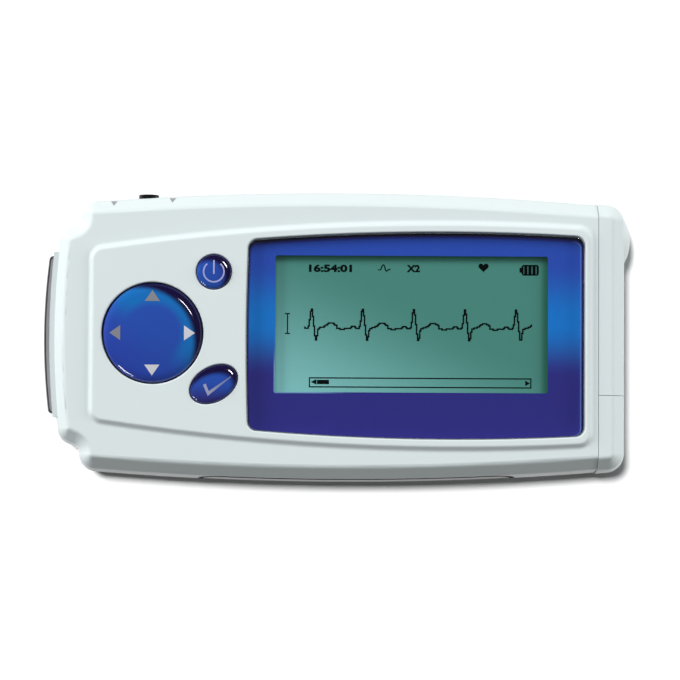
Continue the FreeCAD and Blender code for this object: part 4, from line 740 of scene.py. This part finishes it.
# Painted highlight on the lower left of the display's cut edge.
painted_cut_highlight = mark.ease(3.1, 3.5) * (1 - (x + y * 1.6).ease(-26.0, -16.0))
film.set(base_color=film.coats(
    paint(46, 43, 127), (tall.ease(0.30, 0.56), paint(20, 120, 206)),
    (tall.ease(0.58, 0.86), paint(42, 78, 178)),
    (film.noise(0.5, 3.0) * 0.12, paint(24, 60, 150)),
    # Painted shade: violet just inside the dark edge.
    (mark.ease(2.0, 1.0) * 0.7, paint(40, 22, 108)),
    (painted_bevel_highlight * 0.55, paint(110, 150, 212)),
    # Painted shade: almost black round the edge, wider at the top.
    (mark.ease(1.1, 0.3), paint(5, 1, 34)),
    (painted_cut_highlight, paint(110, 150, 190))))
film.bump(film.noise(3.0), 0.002)
add_piece("blue_border", skin(ringed(film_rows)), film, "case", "border_film", "window_border",
          marks=np.repeat(ring_marks, len(outer_loop)))

# %% [markdown]
# ## The end plate, the dark band round the strip and the socket's ring
# The plate on the left end is bent sheet with rolled edges and round ends. Its rows are plan
# outlines that shrink towards its upper and lower edges. A black band round the long strip is
# painted shade for the dark gap there: a flat loop whose points are pushed out to the bowed wall by
# the wall's own formula.
# A short black ring stands round the socket's mouth, between two small printed triangles.

# %% End plate
PLATE_HALF, PLATE_LOW, PLATE_HIGH = 17.1, 4.6, 16.2
PLATE_FACE, PLATE_BACK = -64.0, -62.438
FACE_BOW, BACK_BOW = 266.0, 360.4    # twice the radius of each bow in plan
PLATE_BULGE, END_ROUND = 0.5, 0.7


def plate_outline(z, inset):
    """Plan outline of the plate at height z: its bowed face, moved in by inset, then its back. The
    face falls back by the square of the way from its middle, across and up, and its two ends
    are quarter circles."""
    half, middle = PLATE_HALF - inset, (PLATE_LOW + PLATE_HIGH) / 2
    y = half * np.sin(np.linspace(-np.pi / 2, np.pi / 2, 49))
    near_end = np.clip((np.abs(y) - half + END_ROUND) / END_ROUND, 0, 1)
    end = END_ROUND * (1 - np.sqrt(1 - near_end ** 2))
    bulge = PLATE_BULGE * ((z - middle) / (PLATE_HIGH - middle)) ** 2
    face = np.stack([PLATE_FACE + bulge + inset + end + y ** 2 / FACE_BOW, y], -1)
    back = np.stack([PLATE_BACK + y ** 2 / BACK_BOW, y], -1)
    return np.concatenate([face, back[::-1]])


EDGE_ROUND = 0.45
quarter = np.linspace(0, np.pi / 2, 7)
lift, inset = EDGE_ROUND * (1 - np.cos(quarter)), EDGE_ROUND * (1 - np.sin(quarter))
levels = [*zip(PLATE_LOW + lift, inset), *((z, 0.0) for z in np.linspace(5.5, 15.3, 15)),
          *zip(PLATE_HIGH - lift[::-1], inset[::-1])]
outlines = [(plate_outline(z, inset), z) for z, inset in levels]
closing = [((loop + loop[::-1]) / 2, z) for loop, z in (outlines[0], outlines[-1])]
plate_rows = ringed([closing[0]] + outlines + [closing[1]])
print("end plate of", len(plate_rows), "rings")

# %% Posts of the end plate
POST_REACH, POST_HEIGHT = 10.009, 8.0    # each post's way from the plate's middle, and its height
post, post_faces = lathe([(0, -57.4), (1.2, -57.4), (1.2, -62.3), (0, -62.3)])
posts = [(post[:, [2, 1, 0]] + [0, y, POST_HEIGHT], post_faces) for y in (POST_REACH, -POST_REACH)]
add_piece("end_plate", gather([skin(plate_rows)] + posts), end_metal, "case", "electrode_metal",
          "end_electrode")

# %% Shade band round the strip
WALL_BOW, WALL_REACH, CASE_JOINT = 664.0, 31.7, 10.5
LEAN_ABOVE, LEAN_BELOW = math.tan(math.radians(7)), math.tan(math.radians(5))


def rounded(left, right, low, high, corner):
    """Points (n, 2) round a rectangle with round corners, with 60 points on each long edge."""
    turn = np.linspace(0, np.pi / 2, 12)
    bend = np.stack([np.cos(turn), np.sin(turn)], -1) * corner
    level = np.linspace(right - corner, left + corner, 62)[1:-1]
    upper = np.concatenate([bend + [right - corner, high - corner],
                            np.stack([level, np.full(60, high)], -1),
                            bend[::-1] * [-1, 1] + [left + corner, high - corner]])
    return np.concatenate([upper, upper[::-1] * [1, -1] + [0, low + high]])


def on_near_wall(loop, out):
    """Points of the near long side at (x, z), out millimetres proud. The wall is an arc in plan
    and leans in both ways from the case's joint."""
    x, z = loop.T
    lean = np.where(z > CASE_JOINT, LEAN_ABOVE, -LEAN_BELOW)
    wall = WALL_BOW - WALL_REACH - np.sqrt(WALL_BOW ** 2 - x ** 2)
    return np.stack([x, wall + (z - CASE_JOINT) * lean - out, z], -1)


# A black band of painted shade over the dark gap round the long strip.
SHADE_PROUD, SHADE_SUNK = 0.03, -0.05
shade_band_out = rounded(-30.2, 38.8, 4.5, 16.25, 5.2)
shade_band_in = rounded(-29.2, 37.8, 5.5, 15.25, 4.3)
section = [(shade_band_out, SHADE_SUNK), (shade_band_out, SHADE_PROUD), (shade_band_in, SHADE_PROUD), (shade_band_in, SHADE_SUNK),
           (shade_band_out, SHADE_SUNK)]
shade_band_rows = np.stack([on_near_wall(loop, out) for loop, out in section])
painted_gap_shade = moulded("gap_shade_black", paint(12, 12, 14), 0.9, 8.0, 0.004).set(specular_ior_level=0.05)
add_piece("strip_seal", skin(shade_band_rows), painted_gap_shade, "case", "gasket_foam")

# %% Socket ring and its marks
SOCKET_X, SOCKET_Z = -41.2, 13.6
ring_profile = [(1.5, 29.82), (1.5, 30.55), (1.6, 30.65), (2.1, 30.65), (2.2, 30.55), (2.2, 29.82),
                (1.5, 29.82)]
collar, collar_faces = lathe(ring_profile, columns=48)
collar = collar[:, [0, 2, 1]] + [SOCKET_X, 0, SOCKET_Z]
add_piece("socket_ring", (collar, collar_faces), moulded("socket_ring", paint(16, 16, 18), 0.4, 8.0, 0.004),
          "case", "socket_plastic")


def side_mark(middle, height, slope_x, slope_y, bend_y):
    """A small printed triangle that points to the screen. Near its middle the far bevel's height is
    a sum: height, the slopes times the way along and across, and bend_y times across squared."""
    flat = between([(-0.75, 0.35), (0.0, -0.75)], [(0.75, 0.35), (0.0, -0.75)], 6, 6) + middle

    def bevel_height(x, y):
        along, across = x - middle[0], y - middle[1]
        return height + slope_x * along + slope_y * across + bend_y * across ** 2 + 0.02

    return inlay(flat, bevel_height, 0.04)


triangles = [side_mark((-48.5, 28.65), 17.316, 0.109, -1.429, -0.05),
             side_mark((-35.8, 29.4), 17.402, 0.075, -1.374, 0)]
mark_grey = moulded("mark_grey", paint(150, 152, 156), 0.5, drift=0.1)
add_piece("side_marks", gather(triangles), mark_grey, "case", "shell_plastic")

# %% [markdown]
# ## The display
# The display is a grey-green liquid crystal panel that is a little brighter towards its lower left.
# It lies deep under the film, and shade is painted along its upper and right edges. It also glows
# faintly in its own colours, painted shade and all, which is painted light. Fine lines between its
# dots show only close up. The picture on it, a heart trace with its readings, is a set of plates
# a fortieth of a millimetre thick: they stay sharp at any distance, where a painted grid would not.

# %% Display glass
PIXEL_PITCH = 0.46
lcd = Finish("display_glass", roughness=0.3)
x, y, _ = lcd.axes()
rise = (x * 0.55 + y * 1.1).ease(-30.0, 17.0)
# Painted shade along the upper and right edges, where the film would shade the panel.
shade = 1 - (1 - y.ease(15.5, 17.6)) * (1 - x.ease(43.6, 45.2))
dots = lcd.node("ShaderNodeTexBrick", {"offset": 0.0},
                {"Vector": lcd.place(), "Scale": 1.0, "Mortar Size": 0.03, "Mortar Smooth": 0.2,
                 "Brick Width": PIXEL_PITCH, "Row Height": PIXEL_PITCH}, 1)
panel = lcd.coats(paint(129, 192, 192), (rise, paint(69, 128, 118)),
                  (shade * 0.85, paint(32, 90, 70)), (dots * 0.06, paint(20, 60, 50)))
# The panel glows faintly in its own colours: painted light that brightens it under the window.
lcd.set(base_color=panel, emission_color=panel, emission_strength=0.12)
lcd.bump(dots, 0.002)
dress(lcd, "lcd_glass")
print("display dressed")

# %% [markdown]
# ## The picture on the display
# A heart beat is drawn as a sum of bell curves: a small one before the beat, the tall narrow spike,
# the dip after it, and a broad low hill. The display has dots, so the trace goes up and down in
# small square steps, one upright box for each column of dots.

# %% Heart trace
INK_LOW, INK_HIGH = 17.6, 17.625
DOT, HALF_LINE, OVERLAP = 0.23, 0.16, 0.05
BEAT, FIRST_BEAT = 11.07, -5.61    # length of a beat, and the place of the first spike
TRACE_LEFT, TRACE_RIGHT, TRACE_LEVEL = -7.08, 42.3, 1.68


def slabs(boxes):
    """Closed upright boxes of ink from rows (x0, y0, x1, y1)."""
    boxes = np.asarray(boxes, float)
    x = boxes[:, [0, 2, 2, 0] * 2]
    y = boxes[:, [1, 1, 3, 3] * 2]
    z = np.broadcast_to([INK_LOW] * 4 + [INK_HIGH] * 4, x.shape)
    one = np.array([[0, 3, 2, 1], [4, 5, 6, 7], [0, 1, 5, 4], [1, 2, 6, 5], [2, 3, 7, 6], [3, 0, 4, 7]])
    faces = (one + 8 * np.arange(len(boxes))[:, None, None]).reshape(-1, 4)
    return np.stack([x, y, z], -1).reshape(-1, 3), faces


def beat_height(x):
    """Height of the trace at x: bells (place, height, width) on a level line, once every beat."""
    phase = (x - FIRST_BEAT + BEAT / 2) % BEAT - BEAT / 2
    bells = np.array([(-2.0, 0.5, 0.4), (0.0, 3.8, 0.36), (0.35, 1.2, 0.3), (1.05, -2.7, 0.34),
                      (4.3, 1.15, 1.3), (-4.4, -0.35, 0.6)])
    place, height, width = bells.T[:, :, None]
    return TRACE_LEVEL + (height * np.exp(-((phase - place) / width) ** 2)).sum(0)


columns = np.arange(TRACE_LEFT, TRACE_RIGHT, DOT)
steps = np.round(beat_height(columns) / DOT) * DOT
lower, upper = np.minimum(steps[:-1], steps[1:]), np.maximum(steps[:-1], steps[1:])
trace = np.stack([columns[:-1] - OVERLAP, lower - HALF_LINE, columns[1:] + OVERLAP, upper + HALF_LINE], -1)
ink = moulded("display_ink", paint(2, 10, 9), 0.5, 6.0, 0.001, 0.2)
ink.set(specular_ior_level=0.1)
add_piece("heart_trace", slabs(trace), ink, "case", "display_glass")

# %% Readings
BOLD = 0.045    # how far each outline is pushed out, as a share of the letters' own size


def letters(text, x0, y0, x1, y1):
    """Text as a closed shape that fills the box from (x0, y0) to (x1, y1)."""
    curve = bpy.data.curves.new(text, "FONT")
    curve.body = text
    curve.extrude = 0.05
    curve.offset = BOLD
    curve.resolution_u = 3
    drawn = bpy.data.objects.new(text, curve)
    mesh = bpy.data.meshes.new_from_object(drawn)
    points = np.array([tuple(vertex.co) for vertex in mesh.vertices])
    low, high = points.min(0), points.max(0)
    points = (points - low) / (high - low) * [x1 - x0, y1 - y0, INK_HIGH - INK_LOW] + [x0, y0, INK_LOW]
    faces = [tuple(polygon.vertices) for polygon in mesh.polygons]
    bpy.data.objects.remove(drawn)
    bpy.data.curves.remove(curve)
    bpy.data.meshes.remove(mesh)
    return points, faces


readings = [letters("16:54:01", -6.17, 13.79, 3.14, 15.48), letters("X2", 14.97, 13.86, 17.88, 15.46)]
add_piece("readings", gather(readings), ink, "case", "display_glass")

# %% Signs on the display
def plate(loop, middle):
    """A closed flat plate of ink inside a loop of points (n, 2): rings from its middle to the loop."""
    centre = np.repeat([middle], len(loop), 0)
    return skin(ringed([(centre, INK_HIGH), (loop, INK_HIGH), (loop, INK_LOW), (centre, INK_LOW)]))


# The heart is the well-known curve of sines and cosines, fitted to its box.
around = np.linspace(0, 2 * np.pi, 48, endpoint=False)
waves = [13 * np.cos(around), -5 * np.cos(2 * around), -2 * np.cos(3 * around), -np.cos(4 * around)]
heart = np.stack([16 * np.sin(around) ** 3, sum(waves)], -1)
heart = heart * [2.2 / 32, 1.95 / 29] + (31.63, 15.02)
wave_path = np.array([(8.8, 14.33), (9.35, 14.35), (9.7, 15.25), (9.97, 15.5), (10.2, 15.1), (10.36, 14.4),
                      (10.58, 14.02), (10.95, 14.33), (11.45, 14.5)])
signs = [
    plate(heart, (31.63, 14.9)),
    inlay(ribbon(wave_path, 0.27, 3), lambda x, y: np.full(x.shape, INK_HIGH), INK_HIGH - INK_LOW),
    plate([(-5.62, -10.0), (-4.42, -9.42), (-4.42, -10.58)], (-4.8, -10.0)),
    plate([(41.76, -10.08), (40.72, -9.5), (40.72, -10.66)], (41.1, -10.08)),
    slabs([
        # Charge sign: nose, cells and the lines that join them.
        (39.44, 13.9, 39.96, 14.95), (39.88, 13.5, 40.3, 15.35), (40.44, 13.4, 41.14, 15.45),
        (41.32, 13.4, 42.04, 15.45), (42.22, 13.4, 42.92, 15.45), (43.1, 13.5, 43.6, 15.35),
        (40.1, 15.27, 43.4, 15.58), (40.1, 13.26, 43.4, 13.57),
        # Scale bar.
        (-11.3, 4.62, -10.19, 4.87), (-11.3, 0.33, -10.19, 0.58), (-10.87, 0.33, -10.62, 4.87),
        # Scroll bar: frame and block.
        (-6.05, -9.26, 42.05, -9.0), (-6.05, -11.2, 42.05, -10.94), (-6.05, -11.2, -5.8, -9.0),
        (41.8, -11.2, 42.05, -9.0), (-4.3, -10.48, -1.7, -9.55)]),
]
add_piece("display_signs", gather(signs), ink, "case", "display_glass")

# %% [markdown]
# ## Studio
# The recorder lies on a plain pale floor. Three soft lamps stand beyond its far side and at its two
# ends, so the far bevel is white and the near one is grey. They leave the floor out: a steep sun
# lights the floor alone and draws a tight shadow under the near side and the right end. Four small
# lamps put the sparks on the keys and the window, and one more lifts the two metal contacts. One
# big lamp would be simpler, but then shadow, shading and sparks could only be set together.

# %% Floor
floor_mesh = bpy.data.meshes.new("floor")
reach, level = 3.0, -0.05 * MM    # a hair below the case, so the two faces never lie in one plane
corners = [(-reach, -reach, level), (reach, -reach, level), (reach, reach, level), (-reach, reach, level)]
floor_mesh.from_pydata(corners, [], [(0, 1, 2, 3)])
floor = bpy.data.objects.new("floor", floor_mesh)
bpy.context.collection.objects.link(floor)
paper = Finish("floor_paper", roughness=0.9, specular_ior_level=0.1)
paper.set(base_color=paper.mix(paper.noise(0.02), (0.88, 0.88, 0.88, 1), (0.91, 0.91, 0.91, 1)))
paper.bump(paper.noise(0.5), 0.01)
floor_mesh.materials.append(paper.material)
floor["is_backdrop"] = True
floor.visible_diffuse = False    # its light would flatten the shading of the near side

world = bpy.data.worlds.new("studio")
bpy.context.scene.world = world
world.use_nodes = True
background = world.node_tree.nodes["Background"]
background.inputs["Color"].default_value = WHITE
background.inputs["Strength"].default_value = 0.10
print("floor and background")

# %% Lamp helpers
def lamp(name, kind, azimuth, zenith, distance, group, aim=(0, 0, 0.015), **values):
    """A lamp for a group of objects, turned towards aim. From there it stands azimuth degrees from
    +X and zenith degrees from straight up."""
    data = bpy.data.lights.new(name, kind)
    for key, value in values.items():
        setattr(data, key, value)
    made = bpy.data.objects.new(name, data)
    bpy.context.collection.objects.link(made)
    around, down = math.radians(azimuth), math.radians(zenith)
    way = Vector((math.cos(around) * math.sin(down), math.sin(around) * math.sin(down), math.cos(down)))
    pose = way.to_track_quat("Z", "Y").to_matrix().to_4x4()
    pose.translation = Vector(aim) + way * distance
    made.matrix_world = pose
    made.light_linking.receiver_collection = group
    return made


def lit_group(name, *members):
    """A named set of objects, for lamps that light only them."""
    made = bpy.data.collections.new(name)
    for member in members:
        made.objects.link(frame["nodes"].get(member) or bpy.data.objects[member])
    return made


print("lamp helpers ready")

# %% Soft lamps
SOFT_DISTANCE = 3.0


def soft_lamp(name, azimuth, zenith, light, group):
    """A wide round lamp that gives what faces it the irradiance light times pi."""
    return lamp(name, "AREA", azimuth, zenith, SOFT_DISTANCE, group, shape="DISK", size=1.8,
                energy=light * math.pi * math.pi * SOFT_DISTANCE ** 2)


but_floor = lit_group("but_floor", "floor")
but_floor.collection_objects[0].light_linking.link_state = "EXCLUDE"    # light all but its member
soft_lamps = [("far_light", 95, 50, 0.72), ("left_light", 168, 70, 0.98), ("right_light", 6, 72, 0.68)]
for row in soft_lamps:
    soft_lamp(*row, but_floor).visible_glossy = False
print(len(soft_lamps), "soft lamps")

# %% Sparks on the keys
GLINT, GLINT_DISTANCE = 45.0, 0.6    # radiance of the small lamps, and how far off they stand
large_parts = lit_group("large_parts", "direction_cap", "clear_window")
small_keys = lit_group("small_keys", "power_cap", "enter_cap")
glints = [("glint_far", 46, 36, 0.17, 0.022, large_parts), ("glint_near", 230, 68, 0.21, 0.03, large_parts),
          ("key_glint_far", 42, 38, 0.17, 0.075, small_keys),
          ("key_glint_near", 222, 68, 0.24, 0.03, small_keys)]
for name, azimuth, zenith, wide, high, group in glints:
    glint = lamp(name, "AREA", azimuth, zenith, GLINT_DISTANCE, group, (-0.035, 0, 0.02),
                 shape="RECTANGLE", size=wide, size_y=high, energy=GLINT * math.pi * wide * high)
    glint.visible_diffuse = False
print(len(glints), "small lamps")

# %% Metal lamp and floor sun
soft_lamp("metal_sheen", 180, 10, 0.12, lit_group("metal_only", "end_plate", "finger_electrode"))
lamp("floor_sun", "SUN", 139, 12.5, 1.0, lit_group("floor_only", "floor"), energy=1.1 * math.pi,
     angle=math.radians(7.5))
print("metal lamp and floor sun")

# %% [markdown]
# ## Camera
# The camera looks almost straight down with a long lens, so the case keeps its proportions and its
# near side just shows.

# %% Camera
FOV_HALF, DISTANCE, SENSOR = 7.2, 0.5888, 36.0
ELEVATION, ROLL = 87.5, 0.312
aim = Vector((0.634, -0.626, 11.0)) * MM
camera_data = bpy.data.cameras.new("camera")
camera_data.sensor_width = SENSOR
camera_data.lens = SENSOR / 2 / math.tan(math.radians(FOV_HALF))
camera_data.clip_start = 0.05
camera = bpy.data.objects.new("camera", camera_data)
bpy.context.collection.objects.link(camera)
tilt, roll = math.radians(ELEVATION), math.radians(ROLL)
back = Vector((0, -math.cos(tilt), math.sin(tilt)))
up = Vector((0, math.sin(tilt), math.cos(tilt)))
across = math.cos(roll) * Vector((1, 0, 0)) + math.sin(roll) * up
pose = Matrix((across, back.cross(across), back)).transposed().to_4x4()
pose.translation = aim + back * DISTANCE
camera.matrix_world = pose
bpy.context.scene.camera = camera
bpy.context.scene.view_settings.view_transform = "Standard"
print("camera", round(camera_data.lens, 1), "mm")

# %% [markdown]
# ## Sizes
# The dressed model's box is printed in millimetres. The dressed model has to stay inside the CAD
# model's box.

# %% Sizes and finish
low, high = [list(corner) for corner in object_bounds()]
print("visual box in mm:", [round(1000 * (b - a), 1) for a, b in zip(low, high)])
